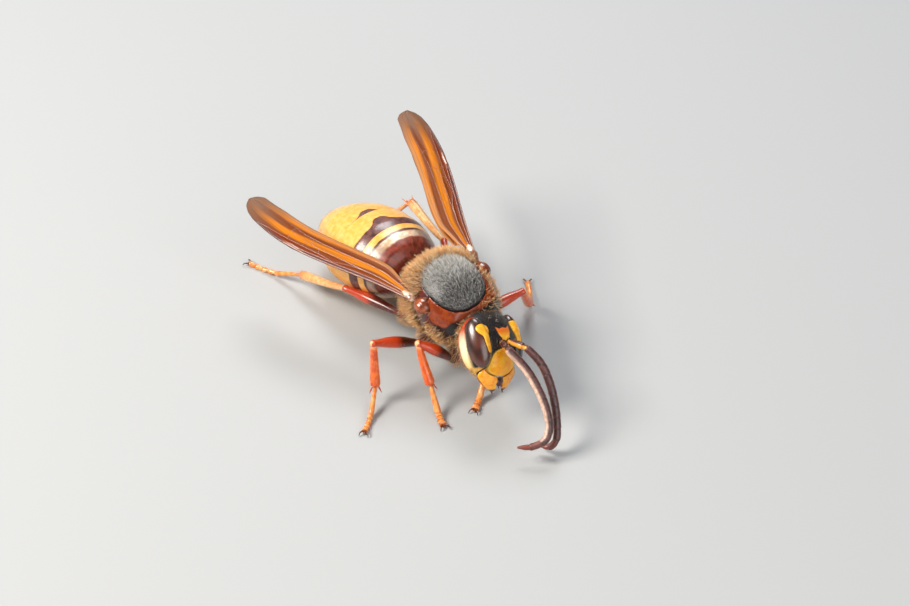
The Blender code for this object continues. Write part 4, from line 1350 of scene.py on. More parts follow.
FORE_VEINS = (  # each vein as (s, t) places, with its radius at both ends
    (((0.0, 0.1), (0.1, 0.05), (0.3, 0.03), (0.5, 0.03), (0.6, 0.03)), 0.15, 0.1),
    (((0.0, 0.3), (0.1, 0.17), (0.3, 0.13), (0.5, 0.12), (0.6, 0.1)), 0.1, 0.07),
    (((0.0, 0.45), (0.12, 0.33), (0.25, 0.3), (0.33, 0.27), (0.42, 0.15)), 0.1, 0.06),
    (((0.0, 0.7), (0.15, 0.62), (0.32, 0.6), (0.5, 0.62), (0.62, 0.64)), 0.09, 0.05),
    (((0.25, 0.3), (0.36, 0.34), (0.5, 0.38), (0.62, 0.42), (0.76, 0.44), (0.88, 0.46)), 0.07, 0.03),
    (((0.42, 0.15), (0.5, 0.22), (0.6, 0.23), (0.7, 0.2), (0.8, 0.14), (0.87, 0.03)), 0.06, 0.04),
    (((0.66, 0.03), (0.76, 0.03), (0.87, 0.03)), 0.08, 0.04),
    (((0.5, 0.22), (0.52, 0.38)), 0.05, 0.05),
    (((0.6, 0.23), (0.59, 0.41)), 0.05, 0.05),
    (((0.68, 0.21), (0.7, 0.43)), 0.05, 0.04),
    (((0.56, 0.4), (0.58, 0.63)), 0.05, 0.04),
    (((0.66, 0.43), (0.7, 0.55), (0.68, 0.72)), 0.05, 0.03),
    (((0.32, 0.6), (0.34, 0.34)), 0.05, 0.05),
    (((0.02, 0.9), (0.15, 0.88), (0.35, 0.86), (0.5, 0.84)), 0.08, 0.04),
    (((0.62, 0.64), (0.74, 0.7), (0.86, 0.74)), 0.04, 0.025),
)
HIND_VEINS = (
    (((0.0, 0.12), (0.2, 0.06), (0.5, 0.04), (0.8, 0.04)), 0.09, 0.05),
    (((0.0, 0.4), (0.3, 0.35), (0.55, 0.3), (0.75, 0.28)), 0.07, 0.03),
    (((0.0, 0.7), (0.3, 0.66), (0.6, 0.62), (0.85, 0.6)), 0.06, 0.03),
    (((0.5, 0.05), (0.56, 0.3)), 0.04, 0.04),
    (((0.42, 0.33), (0.45, 0.64)), 0.04, 0.04),
)


def pleats(s, t):
    """The folds that run along the wing, from -1 to 1."""
    return np.sin(t * 14.0 + s * 3.0)


def film_mesh(wing, veins):
    """A closed plate over the wing, lifted a little along each vein and creased between them."""
    s_steps = 1 - (1 - np.linspace(0, 1, 150)) ** 1.15
    t_steps = np.linspace(0, 1, 44)
    s_grid, t_grid = np.meshgrid(s_steps, t_steps, indexing="ij")
    s_all, t_all = s_grid.ravel(), t_grid.ravel()
    width = wing.width(s_all)
    spots = np.stack([s_all * wing.length, t_all * width], 1)
    lift = np.full(len(spots), -VEIN_LIFT)
    for line, thick, thin in veins:
        fine = smooth_rows(line, 24) if len(line) > 2 else np.array(line)
        flat = np.stack([fine[:, 0] * wing.length, fine[:, 1] * wing.width(fine[:, 0])], 1)
        ridge = VEIN_LIFT * np.exp(-(line_distance(spots, flat) / VEIN_FOOT)**2)
        lift = np.maximum(lift, -VEIN_LIFT + ridge)
    lift = lift + PLEAT_HEIGHT * pleats(s_all, t_all) * t_all
    top = wing.place(s_all, t_all, lift + FILM / 2).reshape(*s_grid.shape, 3)
    low = wing.place(s_all, t_all, lift - FILM / 2).reshape(*s_grid.shape, 3)
    rings = np.concatenate([top, low[:, ::-1]], 1)
    data = skin_mesh("film", ring_skin(rings))
    share = np.concatenate([s_grid, s_grid[:, ::-1]], 1).ravel()
    across = np.concatenate([t_grid, t_grid[:, ::-1]], 1).ravel()
    put_values(data, "along", np.append(share, [0.0, 1.0]))
    put_values(data, "across", np.append(across, [0.5, 0.5]))
    put_values(data, "pleat", np.append(pleats(share, across), [0.0, 0.0]))
    return data


def build_cord_tree():
    """Round cords along chains of edges, as wide as each point says."""
    tree = Nodes("round_cords", {"Sides": "Int", "Finish": "Material"})
    path = tree.node("GeometryNodeMeshToCurve", None, {"Mesh": tree.given("Geometry")})
    wide = tree.stored("wide")
    circle = tree.node("GeometryNodeCurvePrimitiveCircle", None,
                       {"Resolution": tree.given("Sides"), "Radius": 1.0})
    cords = tree.node("GeometryNodeCurveToMesh", None,
                      {"Curve": path, "Profile Curve": circle, "Scale": wide, "Fill Caps": True})
    real = tree.node("GeometryNodeRealizeInstances", None, {"Geometry": cords})
    return tree.close(real, tree.given("Finish"))


cord_tree = build_cord_tree()


def vein_paths(wing, veins):
    """The veins as chains of edges on the wing's surface."""
    points, edges, widths = [], [], []
    for line, thick, thin in veins:
        fine = smooth_rows(line, 36) if len(line) > 2 else np.linspace(line[0], line[1], 8)
        base = len(points)
        points += wing.place(fine[:, 0], fine[:, 1], 0.0).tolist()
        widths += np.linspace(thick * 0.5, thin * 0.5, len(fine)).tolist()
        edges += [(base + index, base + index + 1) for index in range(len(fine) - 1)]
    data = bpy.data.meshes.new("veins")
    data.from_pydata(points, edges, [])
    put_values(data, "wide", widths)
    return data


# %% Wing finishes and pieces
film = Finish("wing_film", specular_ior_level=0.08)
along = film.value("along")
across = film.value("across")
wander = (film.noise(0.45, 2.0) - 0.5) * 0.3
grain_place = film.node("ShaderNodeCombineXYZ", None, {"X": across * 22.0, "Y": along * 3.0})
grain = film.node("ShaderNodeTexNoise", None, {"Vector": grain_place, "Scale": 1.0, "Detail": 2.0})
streak = film.step(film.value("pleat") + wander * 2.0 + (grain - 0.5) * 2.4, -0.6, 0.7)
# Amber streaks over brown, then the browner front, its grey edge, the paler rear, the tip, and grain.
# The grey edge is a painted reflection of the sky; the paler rear is partly a painted reflection too.
film_tone = film.over(rgb(118, 54, 8), (streak, rgb(208, 120, 14)),
                      (film.step(across + wander * 0.3, 0.27, 0.14), rgb(116, 44, 10)),
                      (film.step(across, 0.14, 0.06), rgb(86, 64, 66)),
                      (film.step(across + (grain - 0.5) * 0.3, 0.78, 0.92) * 0.6, rgb(176, 130, 92)),
                      (film.step(along + wander * 0.2, 0.7, 1.0), rgb(124, 86, 60)),
                      (film.step(grain, 0.45, 0.7) * 0.4, rgb(104, 44, 10)))
film.paint(base_color=film_tone, roughness=0.36 + streak * 0.1,
           alpha=0.98 - film.step(across, 0.2, 0.5) * 0.05 - film.step(along, 0.7, 1.0) * 0.2,
           normal=film.bumps(film.noise(5.0, 3.0) + grain, 0.02))
vein_finish = Finish("wing_vein", coat_weight=0.9, coat_roughness=0.14, specular_ior_level=0.5)
vein_finish.paint(base_color=vein_finish.mix(vein_finish.noise(1.0), rgb(96, 46, 24), rgb(158, 96, 62)),
                  roughness=0.3 + vein_finish.noise(4.0) * 0.1)
# The wing hinge runs from brown to near-white: the near-white is partly a pale sclerite and partly a
# painted glint.
hinge_horn = horn("hinge_horn", rgb(140, 92, 66), rgb(240, 220, 200), 0.22, 6.0, 0.004, 0.8)
for side_name, side in SIDES:
    for kind, hind, veins in (("forewing", False, FORE_VEINS), ("hindwing", True, HIND_VEINS)):
        wing = Wing(side_name, side, hind)
        name = f"{kind}_{side_name}"
        finished(name, film_mesh(wing, veins), film.material, [name], "wing")
        cords = grown(cord_tree, vein_paths(wing, veins), {"Sides": 10, "Finish": vein_finish.material})
        finished(name + "_veins", cords, vein_finish.material, slot="wing")
    wing = Wing(side_name, side, False)
    stigma = [wing.place(s, t, 0.0)[0] for s, t in ((0.57, 0.06), (0.6, 0.07), (0.64, 0.08), (0.68, 0.06),
                                                    (0.71, 0.04))]
    stigma_skin = ring_skin(sweep(stigma, (0.05, 0.17, 0.2, 0.14, 0.04), 20, 0.45, tuple(wing.upward)))
    finished("wing_mark_" + side_name, skin_mesh("wing_mark", stigma_skin), vein_finish.material,
             slot="wing")
    hinge = smooth_rows([on_thorax(side * 2.45, 0.55, 1.35), on_thorax(side * 3.0, 0.6, 1.5),
                         wing.place(0.0, 0.5, -0.05)[0], wing.place(0.05, 0.4, -0.05)[0]], 24)
    knuckle = ring_skin(sweep(hinge, np.interp(np.linspace(0, 1, 24), (0, 0.3, 0.6, 1),
                                               (0.5, 0.42, 0.5, 0.1)), 24, 0.6, tuple(wing.upward)))
    finished("wing_hinge_" + side_name, skin_mesh("wing_hinge", knuckle), hinge_horn, slot="wing")
print("wings and veins made")


# %% [markdown]
# ## Legs
#
# A leg is a hip joint that swings, a small ring, a thigh, a shin with spurs at its end, and a foot of
# five joints with two claws. The routes are the solids' own, so each foot stands where it did. Thigh
# and shin are swept rings with a swelling profile, and they meet in rounded knees. The foot's small
# joints come from the same tree as the feelers'. Each piece stores how far down the leg it is.

# %% Where the legs go
# Each route: hip, turn below the hip, knee, ankle, middle of the foot, and toe.
LEG_ROUTES = {
    "front_right": ((-1.0, -2.75, 4.1), (-1.75, -3.15, 3.0), (-4.55, -1.85, 5.35), (-4.5, -3.45, 2.0),
                    (-5.0, -5.3, 0.27), (-5.3, -6.3, 0.2)),
    "front_left": ((1.0, -2.75, 4.1), (0.8, -2.35, 2.75), (3.45, -3.3, 4.7), (0.35, -4.6, 2.2),
                   (-1.3, -5.7, 0.27), (-2.1, -6.3, 0.2)),
    "middle_right": ((-1.5, 0.2, 3.9), (-2.6, 0.25, 2.95), (-7.5, 0.2, 5.4), (-7.9, -0.5, 1.5),
                     (-9.6, -2.2, 0.27), (-10.8, -3.2, 0.2)),
    "middle_left": ((1.5, 0.2, 3.9), (2.6, 0.3, 2.95), (7.3, -0.2, 3.9), (9.1, 1.2, 0.75),
                    (10.3, 2.6, 0.27), (11.1, 4.0, 0.2)),
    "hind_right": ((-1.4, 2.3, 4.3), (-2.45, 3.4, 3.7), (-4.2, 9.2, 3.5), (-4.95, 15.1, 1.5),
                   (-6.0, 18.0, 0.27), (-6.9, 20.3, 0.2)),
    "hind_left": ((1.4, 2.3, 4.2), (2.5, 3.4, 3.3), (5.6, 8.7, 4.3), (6.3, 14.7, 4.6),
                  (6.1, 17.6, 1.3), (6.0, 20.2, 0.2)),
}
# Each row of a limb: the share of its length, and its radius.
COXA_ROWS = ((-0.1, 0.6), (0.1, 0.8), (0.4, 0.86), (0.75, 0.66), (0.95, 0.45), (1.06, 0.3), (1.1, 0.12))
RING_LENGTH = 0.42  # the small ring before each thigh
RING_ROWS = ((-0.05, 0.14), (0.02, 0.3), (0.3, 0.36), (0.48, 0.3), (0.55, 0.14))
FEMUR_ROWS = ((0.0, 0.12), (0.02, 0.24), (0.12, 0.34), (0.4, 0.49), (0.6, 0.5), (0.85, 0.36),
              (0.95, 0.31), (1.0, 0.32), (1.03, 0.28), (1.05, 0.12))
TIBIA_ROWS = ((-0.07, 0.1), (-0.05, 0.22), (0.0, 0.3), (0.07, 0.25), (0.2, 0.3), (0.5, 0.35),
              (0.75, 0.4), (0.93, 0.42), (0.985, 0.36), (1.0, 0.2))
FOOT_ROWS = ((0.0, 0.12), (0.02, 0.2), (0.5, 0.19), (0.98, 0.17), (1.0, 0.1))
LIMB_RINGS = 56


def swell(start, end, rows, bend=0.0, columns=28, flatness=0.92):
    """A limb between two points, with a radius at each share of its length, and a slight bow."""
    fine = smooth_rows(rows, LIMB_RINGS)
    upward = unit(np.cross(np.cross(end - start, (0.0, 0.0, 1.0)), end - start))
    route = start + np.outer(fine[:, 0], end - start)
    route = route + np.outer(bend * np.sin(math.pi * np.clip(fine[:, 0], 0, 1)), upward)
    return ring_skin(sweep(route, np.maximum(fine[:, 1], 0.02), columns, flatness, tuple(upward)))


def limb_piece(name, body, start, end, finish, slot):
    """A piece that stands for the solid of its name, and stores each point's share of its length."""
    data = skin_mesh(name, body)
    put_values(data, "along", (points_of(data) - start) @ (end - start) / ((end - start) @ (end - start)))
    finished(name, data, finish, [name], slot)


def leg_finish(name, first, second, last, last_start, knee=None):
    """Horn that runs from one tone to another down the limb, mottled, with tiny pits of bristles."""
    finish = Finish(name, coat_weight=0.6, coat_roughness=0.14, specular_ior_level=0.55)
    along = finish.value("along") + (finish.noise(1.2, 2.0) - 0.5) * 0.2
    mottle = finish.mottle(2.4, 4.0, 0.3)
    tone = finish.over(first, (mottle, second),
                       (finish.step(along, last_start, last_start + 0.2), last))
    # A knee tone is a painted highlight over the first stretch of the shin.
    if knee:
        tone = finish.mix(finish.step(finish.value("along"), 0.15, 0.03), tone, knee)
    pitted = finish.pits(7.0, 0.05, 0.25)
    return finish.paint(base_color=tone, roughness=0.28 + mottle * 0.12,
                        normal=finish.bumps(pitted, 0.006))


coxa_horn = leg_finish("coxa_horn", rgb(58, 16, 10), rgb(96, 30, 16), rgb(142, 44, 16), 0.8)
femur_horn = leg_finish("femur_horn", rgb(52, 10, 6), rgb(100, 22, 9), rgb(196, 58, 8), 0.42)
# The cream knee tone of the front and middle shins is a painted highlight.
tibia_horn = leg_finish("tibia_horn", rgb(208, 70, 4), rgb(244, 112, 22), rgb(196, 62, 8), 0.85,
                        rgb(252, 190, 130))
# The hind shins take a paler, lit copy of the shin finish: painted light.
lit_hind_tibia_horn = leg_finish("lit_hind_tibia_horn", rgb(232, 158, 90), rgb(248, 202, 142),
                             rgb(206, 120, 62), 0.8)
tarsus_horn = leg_finish("tarsus_horn", rgb(218, 112, 40), rgb(244, 168, 90), rgb(172, 96, 52), 0.9)
claw_horn = leg_finish("claw_horn", rgb(96, 44, 22), rgb(120, 58, 28), rgb(40, 20, 14), 0.3)
tarsus_joint = model("tarsus_joint", barrel((
    (-0.5, 0.35), (-0.46, 0.6), (-0.3, 0.7), (0.0, 0.82), (0.3, 0.98), (0.42, 1.0), (0.48, 0.86),
    (0.5, 0.5)), 14))


# Each row of a claw: how far ahead of the toe, out from the middle, and up.
CLAW_ROWS = ((0.0, 0.08, -0.02), (0.2, 0.22, 0.1), (0.42, 0.34, 0.05), (0.55, 0.38, -0.14))


def claws(toe, ankle):
    """Two hooked claws and the soft pad between them, on the floor at the end of the foot."""
    ahead = unit((toe - ankle) * (1, 1, 0))
    outward = np.array((-ahead[1], ahead[0], 0.0))
    bodies = []
    for way in (1.0, -1.0):
        route = [toe + ahead * forward + outward * out * way + (0, 0, up) for forward, out, up in CLAW_ROWS]
        bodies.append(ring_skin(sweep(smooth_rows(route, 20), np.linspace(0.1, 0.02, 20), 10)))
    pad = ball_rings(toe + ahead * 0.14 - (0, 0, 0.06), (ahead, outward, np.array((0, 0, 1.0))),
                     (0.2, 0.13, 0.09), 16, 10)
    return joined([*bodies, ring_skin(pad)])


FLOOR_GAP = 0.004


def keep_on_floor(data):
    """Flattens what would reach below the floor."""
    points = points_of(data)
    points[:, 2] = np.maximum(points[:, 2], FLOOR_GAP)
    set_points(data, points)


# %% The six legs
leg_points = []
for name, route in LEG_ROUTES.items():
    hip, turn, knee, ankle, middle, toe = np.array(route) + SHIFT
    limb_piece("coxa_" + name, swell(hip, turn, COXA_ROWS), hip, turn, coxa_horn, "red_shell")
    ring_end = turn + unit(knee - turn)
    femur = joined([swell(turn, ring_end, RING_ROWS),
                    swell(turn + unit(knee - turn) * RING_LENGTH, knee, FEMUR_ROWS, 0.1)])
    limb_piece("femur_" + name, femur, turn, knee, femur_horn, "red_shell")
    spurs = []
    for way in (-1.0,) if "front" in name else (-1.0, 1.0):  # a front shin has one spur, the rest two
        outward = unit(np.cross(ankle - knee, (0.0, 0.0, 1.0))) * way
        base = ankle - unit(ankle - knee) * 0.12 + outward * 0.2
        tip = base + unit(ankle - knee) * 0.75 + outward * 0.3
        spurs.append(ring_skin(sweep([base, base * 0.4 + tip * 0.6, tip], (0.09, 0.06, 0.015), 10)))
    tibia_end = ankle - unit(ankle - knee) * 0.05
    shin = joined([swell(knee, tibia_end, TIBIA_ROWS, -0.08), *spurs])
    limb_piece("tibia_" + name, shin, knee, ankle, lit_hind_tibia_horn if "hind" in name else tibia_horn,
               "orange_limb")
    path = smooth_rows([ankle, middle, toe], 100)
    foot_width = 0.33 if "front" in name else 0.27
    parts = []
    for stretch, count, width in ((path[:45], 1, (0.9, 0.85)), (path[44:], 4, (0.9, 1.0))):
        base = path_mesh(stretch[[0, len(stretch) // 2, -1]], width, 40)
        foot = grown(thread_tree, base, {"Joints": count, "Width": foot_width, "Overlap": 1.06,
                                         "Joint": tarsus_joint, "Finish": tarsus_horn})
        parts.append(body_of(foot))
    foot = skin_mesh("foot", joined(parts))
    put_values(foot, "along", np.clip((points_of(foot) - ankle) @ (toe - ankle)
                                      / ((toe - ankle) @ (toe - ankle)), 0, 1))
    keep_on_floor(foot)
    finished("tarsus_" + name, foot, tarsus_horn, ["tarsus_" + name], "orange_limb")
    hooks = skin_mesh("hooks", claws(toe, ankle))
    put_values(hooks, "along", np.clip((points_of(hooks) - toe) @ unit(toe - middle), 0, 1))
    keep_on_floor(hooks)
    finished("claws_" + name, hooks, claw_horn, slot="orange_limb")
    leg_points.append((hip, turn, knee, ankle, middle, toe))
print("six legs")


# %% [markdown]
# ## Neck, tegulae and palps
#
# Small parts join the large ones. The neck is a short dark stalk behind the head. The tegula is the
# polished scale over each wing's hinge, a dome with a rim. The palps hang like short feelers under
# the jaws, and are threaded by the same tree.

# %% Small parts
neck_start, neck_end = on_head(0.0, -1.0, 0.35), on_thorax(0.0, -3.7, -0.9)
neck = ring_skin(sweep(np.linspace(neck_start, neck_end, 8), (0.9, 0.82, 0.75, 0.72, 0.74, 0.8, 0.9, 0.95),
                       40))
finished("neck", skin_mesh("neck", neck), black_horn, ["neck"], "black_shell")
tegula_finish = horn("tegula_horn", rgb(96, 36, 14), rgb(160, 80, 40), 0.22, 8.0, 0.003, 0.6)
TEGULA_CENTRE = (3.0, -0.5, 1.42)
TEGULA_RADII = (0.68, 0.82, 0.6)
for side_name, side in SIDES:
    centre = on_thorax(side * TEGULA_CENTRE[0], *TEGULA_CENTRE[1:])
    axes = (THORAX_LEFT * side, np.array((0.0, 1.0, 0.0)), THORAX_UP)
    scale = skin_mesh("scale", ring_skin(ball_rings(centre, axes, TEGULA_RADII, 56, 36)))
    spots = thorax_places(points_of(scale))
    rim = np.hypot((spots[:, 1] - TEGULA_CENTRE[1]) / TEGULA_RADII[1],
                   (spots[:, 2] - TEGULA_CENTRE[2]) / TEGULA_RADII[2])
    move_out(scale, 0.03 * np.exp(-((rim - 0.97) / 0.07)**2) - 0.03 * np.exp(-((rim - 0.84) / 0.06)**2))
    finished("tegula_" + side_name, scale, tegula_finish, ["tegula_" + side_name], "red_shell")
palps = []
for x, reach, size in ((0.55, 1.25, 0.075), (-0.55, 1.25, 0.075), (0.2, 0.9, 0.06), (-0.2, 0.9, 0.06)):
    start = on_head(x, 0.45, -2.2)
    route = [start, on_head(x * 1.25, 0.35, -2.2 - reach * 0.5), on_head(x * 1.1, 0.5, -2.2 - reach)]
    palps.append(body_of(grown(thread_tree, path_mesh(route, (1.0, 0.8)), {
        "Joints": 4, "Width": size, "Overlap": 1.02, "Joint": flagellum_joint, "Finish": claw_horn})))
palp_mesh = skin_mesh("palps", joined(palps))
put_values(palp_mesh, "along", np.full(len(palp_mesh.vertices), 0.4))
finished("palps", palp_mesh, claw_horn, slot="red_shell")


# %% [markdown]
# ## The hair
#
# A hornet isn't furry like a bumblebee, but it isn't bald. Golden hair stands round the back of the
# thorax and down its sides, short grey hair covers the dark dome, and the head, the abdomen and the
# legs carry finer ones. A coat could be combed by hand or simulated. Here one tree grows them all:
# it scatters roots over a skin, leans each hair from the skin's normal towards the lie of the coat,
# and ends in real, closed meshes. Each skin says where the hair is thick, how long it is, and which
# way it lies. Each hair also keeps a small patch of a flat map at the place of its root.

# %% The tree that grows hair
HAIR_RADIUS = 0.018
HAIR_BOW = 0.16
HAIR_HEIGHTS = (0.0, 0.4, 0.75)  # three rings of three points, and then the tip
PATCH_SIZE = 0.003  # each hair's patch on the flat map
WAVE = 3.2  # how strongly neighbouring hairs lean the same way


def build_hair():
    """One hair, a unit long: a thin bent spike of three sides, with its own small map."""
    points = []
    for height in HAIR_HEIGHTS:
        radius = HAIR_RADIUS * (1 - 0.55 * height)
        bow = HAIR_BOW * math.sin(math.pi * height)
        for turn in (0.0, 2.094, 4.189):
            points.append((bow + radius * math.cos(turn), radius * math.sin(turn), height))
    points.append((0.0, 0.0, 1.0))
    faces = [(0, 2, 1)]
    for base in (0, 3):
        for side in range(3):
            following = (side + 1) % 3
            faces.append((base + side, base + following, base + 3 + following, base + 3 + side))
    faces += [(6, 7, 9), (7, 8, 9), (8, 6, 9)]
    data = plain_mesh("hair", points, faces)
    face_outwards(data)
    put_values(data, "tip", np.array(points)[:, 2])
    patch = data.uv_layers.new(name="tuft")
    for loop in data.loops:
        across = (loop.vertex_index % 3) / 2 if loop.vertex_index < 9 else 0.5
        patch.data[loop.index].uv = (across, points[loop.vertex_index][2])
    return bpy.data.objects.new("hair", data)


def build_coat_tree():
    tree = Nodes("coat", {"Density": "Float", "Length": "Float", "Lean": "Float", "Spread": "Float",
                          "Seed": "Int", "Hair": "Object", "Finish": "Material"})

    def chance(kind, low, high, seed, output):
        inputs = {0: low, 1: high} if kind == "FLOAT_VECTOR" else {2: low, 3: high}
        inputs[8] = tree.given("Seed") + seed
        return tree.node("FunctionNodeRandomValue", {"data_type": kind}, inputs, output)

    def scaled(way, size):
        result = tree.vector("SCALE", way)
        tree.feed(result.output.node.inputs["Scale"], size)
        return result

    roots = tree.node("GeometryNodeDistributePointsOnFaces", {"distribute_method": "RANDOM"},
                      {"Mesh": tree.given("Geometry"), "Seed": tree.given("Seed"),
                       "Density": tree.given("Density") * tree.stored("thick")})
    normal = Socket(tree, roots.output.node.outputs["Normal"])
    stray = chance("FLOAT_VECTOR", (-0.7, -0.7, -0.7), (0.7, 0.7, 0.7), 11, 0)
    wave = tree.node("ShaderNodeTexNoise", None, {"Scale": 3.5, "Detail": 1.0}, "Color")
    stray = tree.vector("ADD", stray, tree.vector("MULTIPLY_ADD", wave, (WAVE,) * 3, (-WAVE / 2,) * 3))
    standing = scaled(normal, 1 - tree.given("Lean"))
    lying = scaled(tree.stored("lie", "FLOAT_VECTOR"), tree.given("Lean"))
    strayed = scaled(stray, tree.given("Spread"))
    way = tree.vector("ADD", tree.vector("ADD", standing, lying), strayed)
    turn = tree.node("FunctionNodeAxesToRotation", {"primary_axis": "Z", "secondary_axis": "X"},
                     {0: way, 1: tree.vector("ADD", normal, strayed)})
    length = tree.given("Length") * tree.stored("long") * chance("FLOAT", 0.6, 1.15, 23, 1)
    size = tree.node("ShaderNodeCombineXYZ", None, {0: tree.given("Length"), 1: tree.given("Length"),
                                                    2: length})
    hair = tree.node("GeometryNodeObjectInfo", None, {"Object": tree.given("Hair")}, "Geometry")
    grown_hair = tree.node("GeometryNodeInstanceOnPoints", None,
                           {"Points": roots, "Instance": hair, "Rotation": turn, "Scale": size})
    shaded = tree.node("GeometryNodeStoreNamedAttribute", {"data_type": "FLOAT", "domain": "INSTANCE"},
                       {"Geometry": grown_hair, "Name": "shade",
                        "Value": chance("FLOAT", 0.0, 1.0, 37, 1)})
    real = tree.node("GeometryNodeRealizeInstances", None, {"Geometry": shaded})
    spot = tree.vector("SUBTRACT", tree.stored("tuft", "FLOAT_VECTOR"), (0.5, 0.5, 0.0))
    spot = tree.vector("MULTIPLY_ADD", spot, (PATCH_SIZE, PATCH_SIZE, 0.0),
                       tree.stored("unwrap", "FLOAT_VECTOR"))
    mapped = tree.node("GeometryNodeStoreNamedAttribute", {"data_type": "FLOAT2", "domain": "CORNER"},
                       {"Geometry": real, "Name": "OFBake", "Value": spot})
    return tree.close(mapped, tree.given("Finish"))


coat_tree = build_coat_tree()
single_hair = build_hair()


def lie_along(data, towards):
    """The lie of a coat: a direction, or one for each vertex, laid flat on the skin."""
    normals = normals_of(data)
    towards = np.broadcast_to(np.asarray(towards, float), normals.shape)
    flat = towards - normals * np.einsum("ij,ij->i", towards, normals)[:, None]
    return unit_rows(flat)


def round_map(data, centre, upward, side):
    """A flat map of a rounded body, seen from above: its top is the middle, its underside the rim."""
    away = unit_rows(points_of(data) - centre)
    slope = np.arccos(np.clip(away @ upward, -1, 1)) / math.pi
    turn = np.arctan2(away @ np.cross(upward, side), away @ side)
    return np.stack([0.5 + 0.49 * slope * np.cos(turn), 0.5 + 0.49 * slope * np.sin(turn), slope * 0], 1)


def hair_finish(name, root, tip, pale):
    """Hair that is darker at the root, and a little different from one to the next."""
    finish = Finish(name, specular_ior_level=0.4, sheen_weight=0.25, sheen_roughness=0.4)
    shade = finish.value("shade")
    tone = finish.over(root, (finish.value("tip"), tip), (shade * shade * shade, pale),
                       (finish.value("dark") * 0.7, rgb(84, 36, 24)))
    return finish.paint(base_color=tone, roughness=0.34 + shade * 0.12)


def grow_coat(name, data, lie, thick, long, flat_map, finish, slot, values):
    """Grows one coat, and makes it a piece."""
    for label, field in (("lie", lie), ("thick", thick), ("long", long), ("unwrap", flat_map)):
        put_values(data, label, field)
    inputs = {"Hair": single_hair, "Finish": finish}
    inputs.update(zip(("Density", "Length", "Lean", "Spread", "Seed"), values))
    coat = grown(coat_tree, data, inputs)
    keep_on_floor(coat)
    coat.uv_layers.remove(coat.uv_layers["tuft"])
    hairs = len(coat.vertices) // len(single_hair.data.vertices)
    triangles = sum(len(face.vertices) - 2 for face in coat.polygons)
    finished(name, coat, finish, slot=slot)
    print(name, hairs, "hairs,", triangles, "triangles")


golden_hair = hair_finish("golden_hair", rgb(104, 46, 10), rgb(240, 164, 76), rgb(255, 232, 180))
grey_hair = hair_finish("grey_hair", rgb(128, 122, 116), rgb(240, 236, 228), rgb(255, 254, 250))
dark_hair = hair_finish("dark_hair", rgb(30, 22, 18), rgb(86, 66, 48), rgb(150, 128, 100))
fine_hair = hair_finish("fine_hair", rgb(176, 104, 44), rgb(222, 166, 96), rgb(246, 218, 170))


# %% The coats of the thorax
def thorax_base():
    """The skin under the thorax's hair, and its places."""
    data = skin_mesh("thorax_base", thorax_skin(-0.03))
    return data, thorax_places(points_of(data))


def from_dome(places):
    """How far outside the dark dome each place is, as a share of its size."""
    x, y, half_width, back, front, low = SCUTUM
    length = np.where(places[:, 1] > y, back, front)
    reach = np.abs((places[:, 0] - x) / half_width)**2.4 + np.abs((places[:, 1] - y) / length)**2.4
    return np.where(places[:, 2] > 0.2, reach, 9.0)**0.42 - 1


# The golden coat is thick behind and below, thin on the collar's top, and bare on the dome.
base, places = thorax_base()
outside = from_dome(places)
backward = ramp(places[:, 1], -2.6, -1.2)
low_front = ramp(-places[:, 2], -0.4, 0.6)
rim = ramp(outside, -0.16 * ramp(places[:, 1], 0.2, 0.9), 0.05)
thick = rim * np.maximum(backward, low_front * 0.9)
thick = np.maximum(thick, 0.25 * rim * ramp(places[:, 0], 0.0, 1.5))
thick = thick * np.where(np.hypot(np.abs(places[:, 0]) - 3.0, places[:, 1] + 0.5) < 0.8, 0.1, 1.0)
collar_top = ramp(places[:, 2], 0.1, 0.6) * ramp(-places[:, 1], 0.7, 1.1)
thick = thick * (1 - 0.97 * collar_top * ramp(-places[:, 0], -0.5, 0.5))
throat = ramp(-places[:, 1], 2.2, 2.9) * ramp(-places[:, 2], -0.4, 0.2)
thick = thick * (1 - 0.75 * throat)
long = 0.55 + 0.45 * ramp(places[:, 1], -1.0, 1.5)
down_sides = np.stack([places[:, 0] * 0.12, np.full(len(places), 0.8), -np.abs(places[:, 0]) * 0.2], 1)
thorax_map = round_map(base, THORAX_CENTRE, THORAX_UP, THORAX_LEFT)
grow_coat("thorax_coat", base, lie_along(base, down_sides), thick, long, thorax_map, golden_hair,
          "red_shell", (112.0, 0.95, 0.4, 0.5, 4))
base, places = thorax_base()
thick = (1 - ramp(from_dome(places), -0.08, -0.02)) * (0.4 + 0.6 * ramp(places[:, 1], -2.2, -0.2))
long = 0.8 + 0.8 * ramp(places[:, 1], -1.5, 1.2)
grow_coat("dome_coat", base, lie_along(base, (0.0, 1.0, 0.0)), thick, long, thorax_map, grey_hair,
          "black_shell", (430.0, 0.3, 0.55, 0.45, 9))


# %% The coats of the head
def head_base():
    """The skin under the head's hair, its places, and where eyes, mouth and marks leave it bare."""
    data = skin_mesh("head_base", ring_skin(head_rings(-0.03)))
    spots = head_places(points_of(data))
    bare = np.zeros(len(spots))
    for side_name, side in SIDES:
        centre, axes = eye_axes(side)
        reach = np.sqrt(sum(((points_of(data) - centre) @ axis / radius)**2
                            for axis, radius in zip(axes, EYE_RADII)))
        bare = np.maximum(bare, ramp(-reach, -1.14, -1.06))
    flat = spots[:, [0, 2]]
    for outline in (clypeus_outline, SHIELD):
        bare = np.maximum(bare, ramp(outline_depth(flat, outline), -0.12, 0.0) * (spots[:, 1] > 0))
    bare = np.maximum(bare, ramp(patch_depth(flat), -0.08, 0.0) * (spots[:, 1] > 0))
    bare = np.maximum(bare, ramp(-spots[:, 2], 1.2, 1.4) * (spots[:, 1] > 0.3))
    return data, spots, 1 - bare


